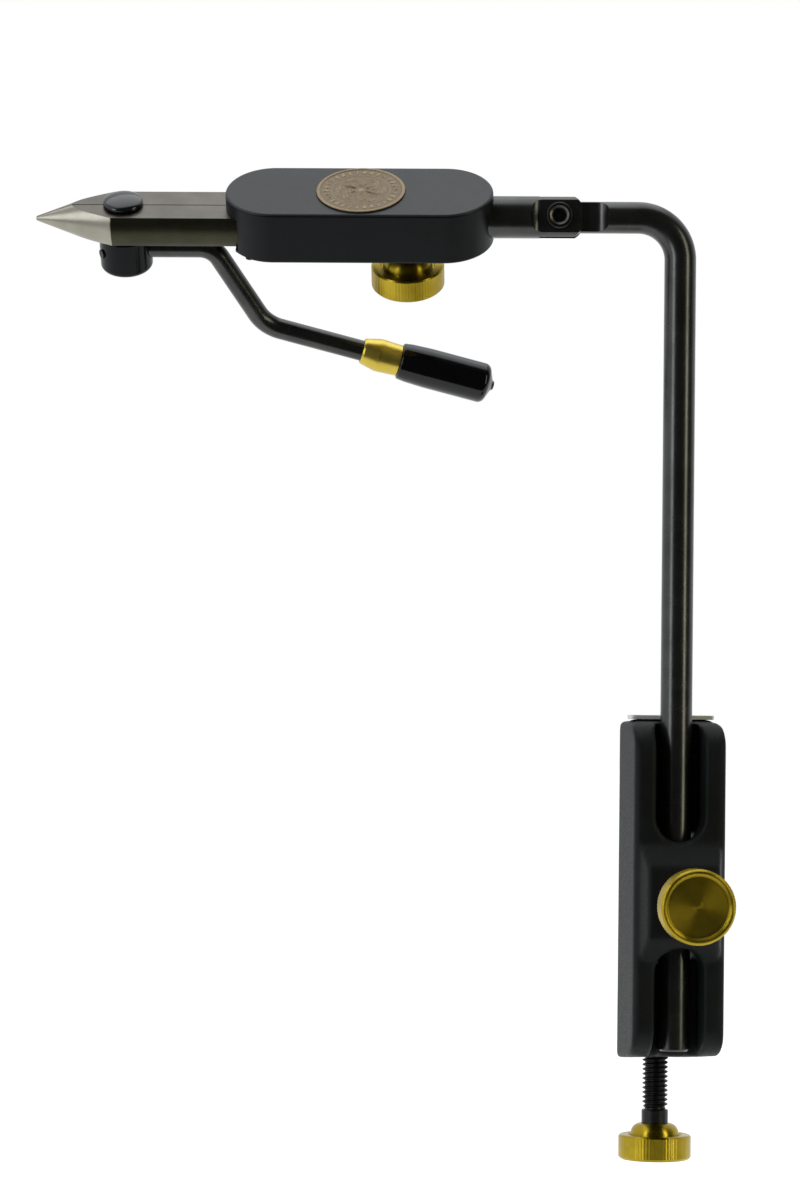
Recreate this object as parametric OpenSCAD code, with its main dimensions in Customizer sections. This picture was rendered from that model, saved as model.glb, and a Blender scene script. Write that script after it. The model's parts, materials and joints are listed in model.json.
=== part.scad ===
// Fly tying vise: spring jaws opened by a lever, on a bent stem held in a table clamp.
// Millimetres. The origin is on the clamp's table seat, above the middle of the clamp screw.
// X runs along the table's edge, -Y points at the person who ties, and Z points up.

/* [Pose] */
// Swivel of the stem and head about the stem, degrees
stem_swivel = -9.5; // [-40:0.5:40]
// Roll of the housing about its shank, top face towards the person who ties, degrees
head_roll = 36.5; // [0:0.5:60]

/* [Clamp] */
// Width of the casting
clamp_w = 27.7; // [25:0.1:34]
// Height of the casting
clamp_h = 103; // [94:0.2:130]
// Thickness of the upper arm
upper_arm_t = 12; // [9:0.5:16]
// Thickness of the lower arm, which carries the clamp screw
lower_arm_t = 17.8; // [12:0.1:22]
// Distance from the stem's axis to the casting's front face
spine_front = 9.3; // [8:0.1:12]
// Distance from the stem's axis to the spine's back face
spine_back = 20.6; // [16:0.1:21.5]
// Distance from the stem's axis to the clamp screw's axis
screw_offset = 29.5; // [29.5:0.1:36]
// Radius of the arms' rounded ends
arm_end_r = 11.7; // [9:0.1:13.5]
// How much higher the front of the underside is than its round end
foot_rise = 2.7; // [0.5:0.1:6]
// Width of the pockets that show the stem
pocket_w = 14.6; // [12:0.1:16]
// Depth of the arches over the casting's front edges, top and bottom
arch_depth = 13; // [8:0.1:14]
// Height of the same arches
arch_h = 9.5; // [6:0.1:11]
// Depth below the seat at which the upper front pocket ends
upper_pocket_drop = 23.8; // [20:0.1:26]
// Depth below the seat at which the rear pocket begins
rear_pocket_drop = 19.2; // [14:0.1:24]
// Height of the rear pocket
rear_pocket_h = 42.3; // [34:0.1:50]
// Width of the lock boss where it leaves the casting
boss_w = 24.6; // [20:0.1:25]
// Height of the lock boss where it leaves the casting
boss_h = 35; // [28:0.1:36]
// How much lower each end of the boss is on its front face
boss_slope = 7; // [3:0.1:8]
// How far the lock boss stands out of the front face
boss_out = 6.7; // [4:0.1:9]
// Depth of the stem lock screw below the seat
lock_drop = 41.5; // [38:0.1:46]
// Thickness of the bare steel plate on top
plate_t = 1.3; // [0.8:0.1:2]
// Width of the plate
plate_w = 25.4; // [20:0.1:26]
// Depth of the plate from front to back
plate_l = 7.5; // [5:0.1:8]

/* [Clamp screw] */
// Diameter of the clamp screw
screw_d = 7.94; // [6:0.01:9]
// Gap between seat and pressure pad at rest
pad_opening = 13; // [4:0.5:30]
// Diameter of the pressure pad
pad_d = 15; // [13:0.1:16]
// Thickness of the pressure pad's disc
pad_t = 3.2; // [2.5:0.1:5]
// Radius of the swivel ball on the screw
ball_r = 3.1; // [2.5:0.1:3.4]
// Length of the screw from the casting's underside to its plain collar
screw_below = 15.8; // [12:0.1:30]
// Length of the plain collar above the knob
collar_l = 4.2; // [3:0.1:8]

/* [Brass knobs] */
// Diameter of the knurled flange
knob_d = 22.2; // [18:0.1:24]
// Thickness of the knurled flange
knob_t = 7.45; // [5:0.05:9]
// Diameter of the dome where it meets the flange
dome_d = 14.9; // [11:0.1:16]
// Diameter of the dome's small end
neck_d = 9; // [8.4:0.1:10]
// Height of the dome
dome_h = 3.45; // [3:0.05:6]
// Diameter of the dished face inside the rim
dish_d = 19.4; // [14:0.1:20]
// Depth of the dished face
dish_depth = 1.1; // [0.5:0.1:2]
// Diameter of the two thumb screws
thumb_d = 6.35; // [5:0.01:7.5]
// Length of the soft shoe ahead of a thumb screw
shoe_l = 4; // [3:0.1:6]
// Distance from the stem's axis to the face of the stem lock knob
stem_knob_reach = 38.3; // [34:0.1:44]
// Distance from the shank's axis to the face of the head lock knob
head_knob_reach = 23.8; // [22:0.1:30]

/* [Stem] */
// Diameter of the stem
stem_d = 9.525; // [8:0.005:10.5]
// Length of the stem from the arm's axis to the lower end
stem_l = 249.5; // [200:0.5:300]
// Height of the arm's axis above the seat
arm_z = 163.2; // [120:0.1:190]
// Radius of the bend at the stem's axis
bend_r = 12.7; // [10:0.1:18]
// Distance from the stem's axis to the knuckle
pin_reach = 36.3; // [34:0.1:50]
// Thickness of the tongue
tongue_t = 3.6; // [3:0.1:4]
// Length of the tongue from the knuckle to its shoulder
tongue_l = 10.8; // [9.5:0.1:12]
// Radius of the cutter that leaves the shoulder
cutter_r = 4.5; // [3:0.1:5]

/* [Knuckle] */
// Diameter of the shank and its fork
shank_d = 12.7; // [12:0.1:14]
// Thickness of the fork across its milled flats
fork_t = 8; // [7.8:0.1:10]
// Length of the milled flats behind the knuckle
flat_l = 4.7; // [4.5:0.1:6]
// Reach of the fork's ears past the knuckle
ear_reach = 6.7; // [5:0.1:7.5]
// Diameter of the knuckle screw
pin_d = 4.8; // [4:0.1:6]
// Diameter of the knuckle screw's head
pin_head_d = 7.8; // [7:0.1:8.4]
// Height of the knuckle screw's head
pin_head_h = 3; // [2:0.1:5]
// Width of the hexagon socket across its corners
socket_d = 4.6; // [3:0.1:5]

/* [Housing] */
// Distance from the knuckle to the housing's round end
housing_start = 19.9; // [17:0.1:30]
// Length of the housing
housing_l = 80.6; // [78:0.1:100]
// Width of the housing
housing_w = 29.4; // [28:0.1:34]
// Thickness of the housing
housing_t = 16.7; // [16:0.1:20]
// Height of the housing's middle above the shank's axis
housing_rise = 0.4; // [0:0.1:1]
// Width of the bevel round the housing's faces
housing_bevel = 0.8; // [0.3:0.1:1.5]
// Depth of the flat cut in the round end under the top plate
end_cut = 3.1; // [1:0.1:5]
// Distance from the knuckle to the shank's inner end
shank_reach = 53.4; // [52:0.1:54]
// Distance from the knuckle to the head lock screw
head_lock_x = 46.1; // [40:0.1:48]
// Thickness of the bottom cover
cover_t = 1.5; // [1.2:0.1:1.7]
// Width of the bottom cover
cover_w = 25.6; // [24.5:0.1:26]
// Diameter of the medallion
medal_d = 26.7; // [20:0.1:27.5]
// Thickness of the medallion
medal_t = 1.6; // [1.2:0.1:3]
// Depth of the medallion's seat
medal_seat = 1; // [0.5:0.1:1.2]
// Distance from the knuckle to the medallion's middle
medal_x = 59.7; // [50:0.1:66]

/* [Jaws] */
// Diameter of the bar that the jaws are cut from
bar_d = 18.8; // [18:0.1:19.2]
// Thickness of the jaws across their flats
jaw_t = 9.6; // [9:0.1:9.8]
// Depth of the jaws' middle below the shank's axis
jaw_drop = 1.1; // [0.9:0.1:1.3]
// Distance from the knuckle to the jaws' inner ends
jaw_tail_x = 56.5; // [56.5:0.1:60]
// Distance from the knuckle to the shoulder where the cone begins
cone_x = 134.8; // [130:0.1:145]
// Length of the cone
cone_l = 23.5; // [18:0.1:30]
// Radius of the jaws' tip
tip_r = 0.65; // [0.5:0.05:1.2]
// Gap between the closed jaws
slit = 0.3; // [0.2:0.05:0.5]
// Distance of the pivot pins from the housing's end
pivot_inset = 14.8; // [12:0.1:18]
// Distance from the slit to each pivot pin
pivot_y = 4.8; // [4.5:0.1:5.2]
// Diameter of the pivot pins
pivot_d = 4; // [3:0.1:4.4]
// Gap between the jaws' tails behind the pivots
tail_gap = 2; // [1.6:0.1:3]

/* [Spring] */
// Distance from the knuckle to the spring's axis
spring_x = 62; // [61:0.1:66]
// Outer diameter of the spring
spring_d = 4.8; // [4:0.1:5.2]
// Diameter of the spring's wire
wire_d = 0.7; // [0.5:0.05:0.8]
// Number of curls
curls = 6; // [4:1:6]
// Depth of the spring's pocket in each tail
spring_pocket = 3.2; // [2.5:0.1:4]

/* [Cam and lever] */
// Distance from the knuckle to the cam's axis
cam_x = 131.7; // [128:0.1:133]
// Half length of the oval cam
cam_long = 4.1; // [3.6:0.05:4.2]
// Half width of the oval cam
cam_short = 3; // [2.8:0.05:3.3]
// Diameter of the button on top
button_d = 12.1; // [11:0.1:15]
// Height of the button
button_h = 2.4; // [1.5:0.1:4]
// Diameter of the drum below
drum_d = 15.9; // [14:0.1:18]
// Height of the drum
drum_h = 11.6; // [10:0.1:14]
// Depth of the lever rod's axis below the drum's top
rod_drop = 4.7; // [4.2:0.1:5.2]
// Diameter of the lever's rod
rod_d = 6.35; // [5:0.05:7]
// Length of the rod from the cam's axis to its first corner
rod_run = 26.5; // [22:0.1:32]
// Length from the first corner to the second
leg_l = 31.2; // [24:0.1:40]
// Length from the second corner to the grip's end
reach_l = 73.2; // [60:0.1:85]
// Slope of the leg, degrees below the jaws
leg_slope = 61.5; // [50:0.5:70]
// Slope of the gripped end, degrees below the jaws
grip_slope = 17.1; // [5:0.1:25]
// Radius of the rod's two bends at its axis
rod_bend_r = 7; // [5.5:0.1:9]
// Length of the ferrule
ferrule_l = 12; // [8:0.1:16]
// Largest diameter of the ferrule
ferrule_d = 10.2; // [9:0.1:12]
// Length of the grip
grip_l = 30.3; // [24:0.1:40]
// Diameter of the grip
grip_d = 12.4; // [10.5:0.1:15]

/* [Hidden] */
$fn = 64;

// Clearances
running_gap = 0.05;
press_gap = 0.02;
moving_gap = 0.3;
side_gap = 0.1;
cut = 1;

// Finishes
casting_black = "#2a2c2e";
oxide_black = "#1e2023";
housing_black = "#23272c";
gunmetal = "#4c4a42";
bright_steel = "#a9a9a4";
brass = "#c2a24e";
bronze = "#6e5a3a";
gloss_black = "#121314";

// Clamp casting
stem_y = -screw_offset;
front_y = stem_y - spine_front;
back_y = stem_y + spine_back;
boss_y = front_y - boss_out;
top_z = upper_arm_t;
bottom_z = upper_arm_t - clamp_h;
throat_bottom = bottom_z + lower_arm_t;
foot_z = bottom_z + foot_rise;
corner_r = 2.2;
throat_r = 4;
arm_tip_drop = 3.5;
pocket_lap = 1.5;
boss_taper = 1.7;
boss_corner_r = 3;
land_h = 0.6;
plate_r = 1;
plate_overhang = 0.8;
plate_y0 = stem_y + stem_d / 2 + 2 * moving_gap;
pocket_rise = 2.4;
lower_pocket_drop = 55;
stem_bore_r = stem_d / 2 + running_gap;

// Clamp screw
ball_z = -pad_opening - pad_t - ball_r / 2;
pad_hub_h = ball_r * 2;
neck_r = ball_r * 0.75;
ball_steps = 12;
ball_neck_l = ball_r * 2.2;
knob_face_z = bottom_z - screw_below - collar_l - dome_h - knob_t;
core_r = screw_d / 2 - running_gap;
collar_r = screw_d / 2 + side_gap;

// Brass knobs
knob_bevel = 0.5;
groove_w = 0.8;
groove_depth = 0.5;
knob_floor = 2.5;
thumb_r = thumb_d / 2;
shoe_r = thumb_r - running_gap;

// Stem and knuckle
stem_r = stem_d / 2;
stem_chamfer = 0.6;
tongue_end_r = stem_r * 1.05;
shank_r = shank_d / 2;
ear_round_r = ear_reach * 1.13;
fork_slot_l = tongue_end_r + moving_gap * 3;
pin_r = pin_d / 2;
lock_groove_depth = 0.5;
lock_groove_w = thumb_d + 2 * moving_gap;

// Housing
housing_end = housing_start + housing_l;
housing_top = housing_rise + housing_t / 2;
housing_bottom = housing_rise - housing_t / 2;
jaw_top = jaw_t / 2 - jaw_drop;
jaw_bottom = -jaw_t / 2 - jaw_drop;
channel_top = jaw_top + moving_gap;
channel_w = bar_d + 4 * moving_gap;
channel_x = jaw_tail_x - 2 * moving_gap - running_gap;
channel_r = 4 * moving_gap;
flat_x = housing_end - end_cut;
pivot_x = housing_end - pivot_inset;
cover_x = channel_x - cover_t * 1.5;
cover_r = 2;
cover_screw_r = 0.8;
cover_head_r = 1.35;
cover_head_h = 0.7;
cover_screw_l = 5;
cover_screw_y = (channel_w + cover_w) / 4;
cover_screw_inset = 4.5;
pin_seat = 3;

// Cam and lever
cam_facets = 48;
cam_window = moving_gap;
window_long = cam_long + 1.5 * moving_gap;
button_z = jaw_top + moving_gap;
button_rim = 0.8;
stub_r = 2.2;
button_stub = 1;
drum_stub = 1.3;
drum_top = jaw_bottom - moving_gap;
drum_bottom = drum_top - drum_h;
drum_round = 1.6;
rod_r = rod_d / 2;
rod_z = drum_top - rod_drop;
rod_in_drum = 3.2;
set_screw_r = 1.4;
set_screw_turn = 33;
set_screw_proud = 0.5;
set_screw_l = 4;
grip_wall_end = 5;
grip_round = 2.2;
cone_slope = 60;
nub_r = 1.4;
nub_h = 0.6;
bend_lap = 1.5;

module rounded_rect(w, h, r) {
    square([w - 2 * r, h], center = true);
    square([w, h - 2 * r], center = true);
    for (x = [-1, 1], y = [-1, 1])
        translate([x * (w / 2 - r), y * (h / 2 - r)]) circle(r);
}

module slot(w, h) {
    square([w, h - w], center = true);
    for (y = [-1, 1])
        translate([0, y * (h - w) / 2]) circle(w / 2);
}

// A flat outline in Y and Z, drawn out along X about the middle plane
module along_x(l) {
    rotate([90, 0, 90]) linear_extrude(l, center = true) children();
}

// A flat outline in X and Z, drawn out along Y from y0 to y1
module along_y(y0, y1) {
    translate([0, y1, 0]) rotate([90, 0, 0]) linear_extrude(y1 - y0) children();
}

// Frames of the pieces that move
module in_arm() {
    translate([0, stem_y, arm_z]) rotate([0, 0, stem_swivel]) children();
}

// The knuckle is the origin, and X points from it to the jaws
module in_fork() {
    in_arm() translate([-pin_reach, 0, 0]) rotate([0, 0, 180]) children();
}

module in_head() {
    in_fork() rotate([-head_roll, 0, 0]) children();
}

// The held bar's axis is the origin, and Z points from the knob to it
module at_stem_lock() {
    translate([0, stem_y, -lock_drop]) rotate([-90, 0, 0]) children();
}

module at_head_lock() {
    in_head() translate([head_lock_x, 0, 0]) children();
}

module clamp_plan() {
    translate([0, (front_y + back_y) / 2])
        rounded_rect(clamp_w, back_y - front_y, corner_r);
    polygon([[-clamp_w / 2, back_y - corner_r], [clamp_w / 2, back_y - corner_r],
             [arm_end_r, 0], [-arm_end_r, 0]]);
    circle(arm_end_r);
}

module clamp_side() {
    difference() {
        polygon([for (a = [0 : 7.5 : 90])
                     [front_y + arch_depth * (1 - sin(a)), foot_z + arch_h * (1 - cos(a))],
                 for (a = [0 : 7.5 : 90])
                     [front_y + arch_depth * (1 - cos(a)), top_z - arch_h * (1 - sin(a))],
                 [back_y, top_z],
                 [arm_end_r, top_z - arm_tip_drop], [arm_end_r, bottom_z], [0, bottom_z]]);
        translate([back_y + clamp_w, throat_bottom / 2])
            rounded_rect(2 * clamp_w, -throat_bottom, throat_r);
    }
}

// The boss slopes on all four sides, from the casting to its front face
module clamp_boss() {
    intersection() {
        along_x(boss_w)
            polygon([[front_y + cut, -lock_drop - boss_h / 2], [front_y, -lock_drop - boss_h / 2],
                     [boss_y, -lock_drop - boss_h / 2 + boss_slope],
                     [boss_y, -lock_drop + boss_h / 2 - boss_slope],
                     [front_y, -lock_drop + boss_h / 2], [front_y + cut, -lock_drop + boss_h / 2]]);
        along_y(boss_y, front_y + cut)
            translate([0, -lock_drop]) rounded_rect(boss_w, boss_h, boss_corner_r);
        translate([0, 0, -lock_drop - boss_h]) linear_extrude(2 * boss_h)
            polygon([[-boss_w / 2, front_y + cut], [-boss_w / 2, front_y],
                     [-boss_w / 2 + boss_taper, boss_y], [boss_w / 2 - boss_taper, boss_y],
                     [boss_w / 2, front_y], [boss_w / 2, front_y + cut]]);
    }
}

module clamp_pockets() {
    upper_h = top_z + pocket_rise + upper_pocket_drop;
    along_y(front_y - cut, stem_y + pocket_lap)
        translate([0, top_z + pocket_rise - upper_h / 2]) slot(pocket_w, upper_h);
    along_y(boss_y - cut, stem_y + pocket_lap)
        translate([0, bottom_z]) slot(pocket_w, 2 * (-lower_pocket_drop - bottom_z));
    along_y(stem_y - pocket_lap, back_y + cut)
        translate([0, -rear_pocket_drop - rear_pocket_h / 2]) slot(pocket_w, rear_pocket_h);
}

// The top plate's plan, or that of the land it lies on, which is smaller by inset all round
module plate_plan(inset) {
    translate([0, plate_y0 + plate_l / 2])
        rounded_rect(plate_w - 2 * inset, plate_l - 2 * inset, plate_r);
}

module clamp_body() {
    color(casting_black)
    difference() {
        union() {
            intersection() {
                translate([0, 0, bottom_z]) linear_extrude(clamp_h) clamp_plan();
                along_x(clamp_w + cut) clamp_side();
                along_y(front_y - cut, arm_end_r + cut)
                    translate([0, bottom_z + clamp_h / 2])
                        rounded_rect(clamp_w, clamp_h, corner_r);
            }
            clamp_boss();
            translate([0, 0, top_z - cut]) linear_extrude(land_h + cut)
                plate_plan(plate_overhang);
        }
        clamp_pockets();
        translate([0, stem_y, bottom_z - cut])
            cylinder(h = clamp_h + land_h + 2 * cut, r = stem_bore_r);
        translate([0, 0, bottom_z - cut])
            cylinder(h = lower_arm_t + 2 * cut, r = screw_d / 2);
        at_stem_lock() translate([0, 0, boss_y - stem_y - cut])
            cylinder(h = stem_y - boss_y + cut, r = thumb_r);
    }
}

module top_plate() {
    color(bright_steel) translate([0, 0, top_z + land_h]) linear_extrude(plate_t) plate_plan(0);
}

module pressure_pad() {
    color(bright_steel)
    difference() {
        union() {
            translate([0, 0, -pad_opening - pad_t]) cylinder(h = pad_t, d = pad_d);
            translate([0, 0, -pad_opening - pad_hub_h - pad_t / 2])
                cylinder(h = pad_hub_h, r = ball_r * 1.6);
        }
        translate([0, 0, ball_z]) sphere(ball_r + running_gap);
        translate([0, 0, ball_z - pad_hub_h]) cylinder(h = pad_hub_h, r = neck_r + side_gap * 3);
    }
}

// One turned outline from the end inside the knob up to the ball
module clamp_screw() {
    collar_z = bottom_z - screw_below;
    neck_z = ball_z - ball_neck_l;
    neck_angle = -acos(neck_r / ball_r);
    color(oxide_black) rotate_extrude()
        polygon([[0, knob_face_z + knob_floor], [neck_r, knob_face_z + knob_floor],
                 [neck_r, collar_z - collar_l], [collar_r, collar_z - collar_l], [collar_r, collar_z],
                 [core_r, collar_z], [core_r, neck_z], [neck_r, neck_z],
                 for (i = [0 : ball_steps])
                     let (a = neck_angle + (90 - neck_angle) * i / ball_steps)
                     [ball_r * cos(a), ball_z + ball_r * sin(a)]]);
}

// A knurled thumb knob on the Z axis, its dished face down at z = 0, for a screw of radius r
module knob(r) {
    difference() {
        rotate_extrude()
            polygon([[0, dish_depth], [dish_d / 2, dish_depth * 0.25], [dish_d / 2, 0],
                     [knob_d / 2 - knob_bevel, 0], [knob_d / 2, knob_bevel],
                     [knob_d / 2, knob_t - knob_bevel], [knob_d / 2 - knob_bevel, knob_t],
                     [dome_d / 2 + groove_w, knob_t],
                     [dome_d / 2 + groove_w, knob_t - groove_depth],
                     [dome_d / 2, knob_t - groove_depth],
                     for (a = [0 : 15 : 90])
                         [neck_d / 2 + (dome_d - neck_d) / 2 * cos(a), knob_t + dome_h * sin(a)],
                     [0, knob_t + dome_h]]);
        translate([0, 0, knob_floor - press_gap]) cylinder(h = knob_t + dome_h, r = r + press_gap);
    }
}

module clamp_screw_knob() {
    color(brass) translate([0, 0, knob_face_z]) knob(neck_r);
}

// A soft plug that bears on a held bar of radius r
module lock_shoe(r) {
    difference() {
        translate([0, 0, -r - moving_gap - shoe_l])
            cylinder(h = shoe_l + moving_gap + r * 0.2, r = shoe_r);
        rotate([0, 90, 0]) cylinder(h = 2 * thumb_d, r = r + moving_gap, center = true);
    }
}

// A thumb screw that ends just behind the shoe, with its knob's face at -reach
module lock_screw(r, reach) {
    translate([0, 0, -reach + knob_floor])
        cylinder(h = reach - knob_floor - r - moving_gap - shoe_l - side_gap, r = shoe_r);
}

module stem_lock_shoe() {
    color(brass) at_stem_lock() rotate([0, 0, 90]) lock_shoe(stem_r);
}

module stem_lock_screw() {
    color(oxide_black) at_stem_lock() lock_screw(stem_r, stem_knob_reach);
}

module stem_lock_knob() {
    color(brass) at_stem_lock() translate([0, 0, -stem_knob_reach]) knob(shoe_r);
}

module head_lock_shoe() {
    color(brass) at_head_lock() lock_shoe(shank_r - lock_groove_depth);
}

module head_lock_screw() {
    color(oxide_black) at_head_lock()
        lock_screw(shank_r - lock_groove_depth, head_knob_reach);
}

module head_lock_knob() {
    color(brass) at_head_lock() translate([0, 0, -head_knob_reach]) knob(shoe_r);
}

module stem() {
    color(oxide_black) in_arm() {
        translate([0, 0, -stem_l]) cylinder(h = stem_chamfer, r1 = stem_r - stem_chamfer, r2 = stem_r);
        translate([0, 0, -stem_l + stem_chamfer])
            cylinder(h = stem_l - bend_r - stem_chamfer, r = stem_r);
        translate([-bend_r, 0, -bend_r]) rotate([90, 0, 0])
            rotate_extrude(angle = 90) translate([bend_r, 0]) circle(stem_r);
        difference() {
            translate([-bend_r, 0, 0]) rotate([0, -90, 0])
                cylinder(h = pin_reach - bend_r + tongue_end_r + cut, r = stem_r);
            linear_extrude(2 * stem_d, center = true) tongue_waste();
            along_y(-stem_d, stem_d) tongue_end_waste();
            translate([-pin_reach, 0, 0]) rotate([90, 0, 0])
                cylinder(h = stem_d, r = pin_r + running_gap, center = true);
        }
    }
}

// What is milled off both sides of the arm to leave its tongue
module tongue_waste() {
    shoulder_x = -pin_reach + tongue_l;
    for (side = [-1, 1]) scale([1, side]) {
        translate([-pin_reach - 2 * tongue_end_r, tongue_t / 2])
            square([tongue_l + 2 * tongue_end_r, stem_d]);
        translate([shoulder_x, tongue_t / 2 + cutter_r]) circle(cutter_r);
    }
}

// What is taken off the tongue's end to round it about the knuckle
module tongue_end_waste() {
    difference() {
        translate([-pin_reach - 2 * tongue_end_r, -stem_d]) square([2 * tongue_end_r, 2 * stem_d]);
        translate([-pin_reach, 0]) circle(tongue_end_r);
    }
}

module head_shank() {
    color(oxide_black) in_fork()
    difference() {
        translate([-ear_reach, 0, 0]) rotate([0, 90, 0])
            cylinder(h = shank_reach + ear_reach, r = shank_r);
        linear_extrude(2 * shank_d, center = true) fork_waste();
        along_y(-shank_d, shank_d) ear_end_waste();
        translate([-shank_d, -tongue_t / 2 - side_gap, -shank_d])
            cube([shank_d + fork_slot_l, tongue_t + 2 * side_gap, 2 * shank_d]);
        rotate([90, 0, 0]) cylinder(h = 2 * shank_d, r = pin_r + running_gap, center = true);
        translate([head_lock_x - lock_groove_w / 2, 0, 0]) rotate([0, 90, 0])
            difference() {
                cylinder(h = lock_groove_w, r = shank_d);
                cylinder(h = lock_groove_w, r = shank_r - lock_groove_depth);
            }
    }
}

// What is milled off both sides of the shank to make the fork's flats
module fork_waste() {
    for (side = [-1, 1]) scale([1, side]) {
        translate([-shank_d, fork_t / 2]) square([shank_d + flat_l, shank_d]);
        translate([flat_l, fork_t / 2 + cutter_r]) circle(cutter_r);
    }
}

module ear_end_waste() {
    difference() {
        translate([-shank_d, -shank_d]) square([shank_d, 2 * shank_d]);
        circle(ear_round_r);
    }
}

module knuckle_screw() {
    color(bright_steel) in_fork() {
        translate([0, -fork_t / 2, 0]) rotate([-90, 0, 0]) cylinder(h = fork_t, r = pin_r);
        difference() {
            translate([0, fork_t / 2, 0]) rotate([-90, 0, 0])
                cylinder(h = pin_head_h, d = pin_head_d);
            translate([0, fork_t / 2 + pin_head_h * 0.4, 0]) rotate([-90, 0, 0])
                cylinder(h = pin_head_h, d = socket_d, $fn = 6);
        }
    }
}

// A slab with round ends and a bevel round both faces, from x0 to x1
module bevelled_slab(x0, x1, w, t, bevel) {
    r = w / 2;
    for (x = [x0 + r, x1 - r]) translate([x, 0, -t / 2]) {
        cylinder(h = bevel, r1 = r - bevel, r2 = r);
        translate([0, 0, bevel]) cylinder(h = t - 2 * bevel, r = r);
        translate([0, 0, t - bevel]) cylinder(h = bevel, r1 = r, r2 = r - bevel);
    }
    translate([(x0 + x1) / 2, 0, 0]) along_x(x1 - x0 - w)
        polygon([[bevel - r, -t / 2], [r - bevel, -t / 2], [r, bevel - t / 2], [r, t / 2 - bevel],
                 [r - bevel, t / 2], [bevel - r, t / 2], [-r, t / 2 - bevel], [-r, bevel - t / 2]]);
}

module head_housing() {
    color(housing_black) in_head()
    difference() {
        translate([0, 0, housing_rise])
            bevelled_slab(housing_start, housing_end, housing_w, housing_t, housing_bevel);
        translate([flat_x, -housing_w, housing_bottom - cut])
            cube([housing_w, 2 * housing_w, channel_top - housing_bottom + cut]);
        translate([0, 0, housing_bottom - cut])
            linear_extrude(channel_top - housing_bottom + cut)
                jaw_channel(channel_x, channel_w, channel_r);
        translate([0, 0, housing_bottom - cut])
            linear_extrude(cover_t + cut) jaw_channel(cover_x, cover_w, cover_r);
        rotate([0, 90, 0]) cylinder(h = shank_reach + moving_gap, r = shank_r + running_gap);
        translate([head_lock_x, 0, housing_bottom - cut])
            cylinder(h = -housing_bottom + cut, r = thumb_r);
        translate([medal_x, 0, housing_top - medal_seat])
            cylinder(h = medal_seat + cut, d = medal_d + 2 * press_gap);
        at_pivots() translate([0, 0, jaw_top])
            cylinder(h = pin_seat + moving_gap, r = pivot_d / 2 + press_gap);
        at_cover_screws() translate([0, 0, housing_bottom])
            cylinder(h = cover_screw_l + side_gap, r = cover_screw_r + press_gap);
    }
}

// The plan of a channel of width w that opens at the jaws' end of the housing
module jaw_channel(x0, w, r) {
    translate([x0 + housing_l / 2, 0]) rounded_rect(housing_l, w, r);
}

module at_pivots() {
    for (side = [-1, 1]) translate([pivot_x, side * pivot_y, 0]) children();
}

module at_cover_screws() {
    for (x = [cover_x + cover_screw_inset, flat_x - cover_screw_inset], side = [-1, 1])
        translate([x, side * cover_screw_y, 0]) children();
}

module bottom_cover() {
    color(housing_black) in_head()
    difference() {
        intersection() {
            translate([0, 0, housing_bottom]) linear_extrude(cover_t)
                jaw_channel(cover_x + press_gap, cover_w - 2 * press_gap, cover_r);
            translate([0, -housing_w, housing_bottom])
                cube([flat_x, 2 * housing_w, housing_t]);
            translate([0, 0, housing_rise])
                bevelled_slab(housing_start, housing_end, housing_w, housing_t, housing_bevel);
        }
        at_pivots() translate([0, 0, housing_bottom - cut])
            cylinder(h = housing_t, r = pivot_d / 2 + press_gap);
        at_cover_screws() {
            translate([0, 0, housing_bottom - cut])
                cylinder(h = housing_t, r = cover_screw_r + press_gap);
            translate([0, 0, housing_bottom - cut])
                cylinder(h = cover_head_h + cut, r = cover_head_r + press_gap);
        }
    }
}

module cover_screws() {
    color(oxide_black) in_head() at_cover_screws() {
        translate([0, 0, housing_bottom]) cylinder(h = cover_head_h, r = cover_head_r);
        translate([0, 0, housing_bottom]) cylinder(h = cover_screw_l, r = cover_screw_r);
    }
}

module jaw_pivot_pins() {
    color(bright_steel) in_head() at_pivots() translate([0, 0, housing_bottom])
        cylinder(h = jaw_top + pin_seat - housing_bottom, r = pivot_d / 2);
}

// A plain disc with a raised rim and a ring of beads round a rosette
module medallion() {
    rim_r = medal_d / 2;
    face_z = housing_top - medal_seat + medal_t;
    relief = medal_t * 0.25;
    color(bronze) in_head() translate([medal_x, 0, 0]) {
        difference() {
            translate([0, 0, face_z - medal_t]) cylinder(h = medal_t, r = rim_r);
            translate([0, 0, face_z - relief]) cylinder(h = relief + cut, r = rim_r * 0.86);
        }
        for (a = [0 : 22.5 : 359]) rotate([0, 0, a])
            translate([rim_r * 0.72, 0, face_z - 1.2 * relief]) cylinder(h = relief, r = rim_r * 0.05);
        for (a = [0 : 45 : 359]) rotate([0, 0, a])
            translate([rim_r * 0.34, 0, face_z - 1.2 * relief]) cylinder(h = relief, r = rim_r * 0.16);
    }
}

// The round bar with its flats and cone, before it is slit into two jaws
module jaw_blank() {
    intersection() {
        union() {
            translate([jaw_tail_x, 0, 0]) rotate([0, 90, 0])
                cylinder(h = cone_x - jaw_tail_x, d = bar_d);
            translate([cone_x, 0, 0]) rotate([0, 90, 0])
                cylinder(h = cone_l, r1 = bar_d / 2, r2 = tip_r);
        }
        translate([jaw_tail_x - cut, -bar_d, -jaw_t / 2])
            cube([cone_x + cone_l - jaw_tail_x + 2 * cut, 2 * bar_d, jaw_t]);
    }
}

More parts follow.
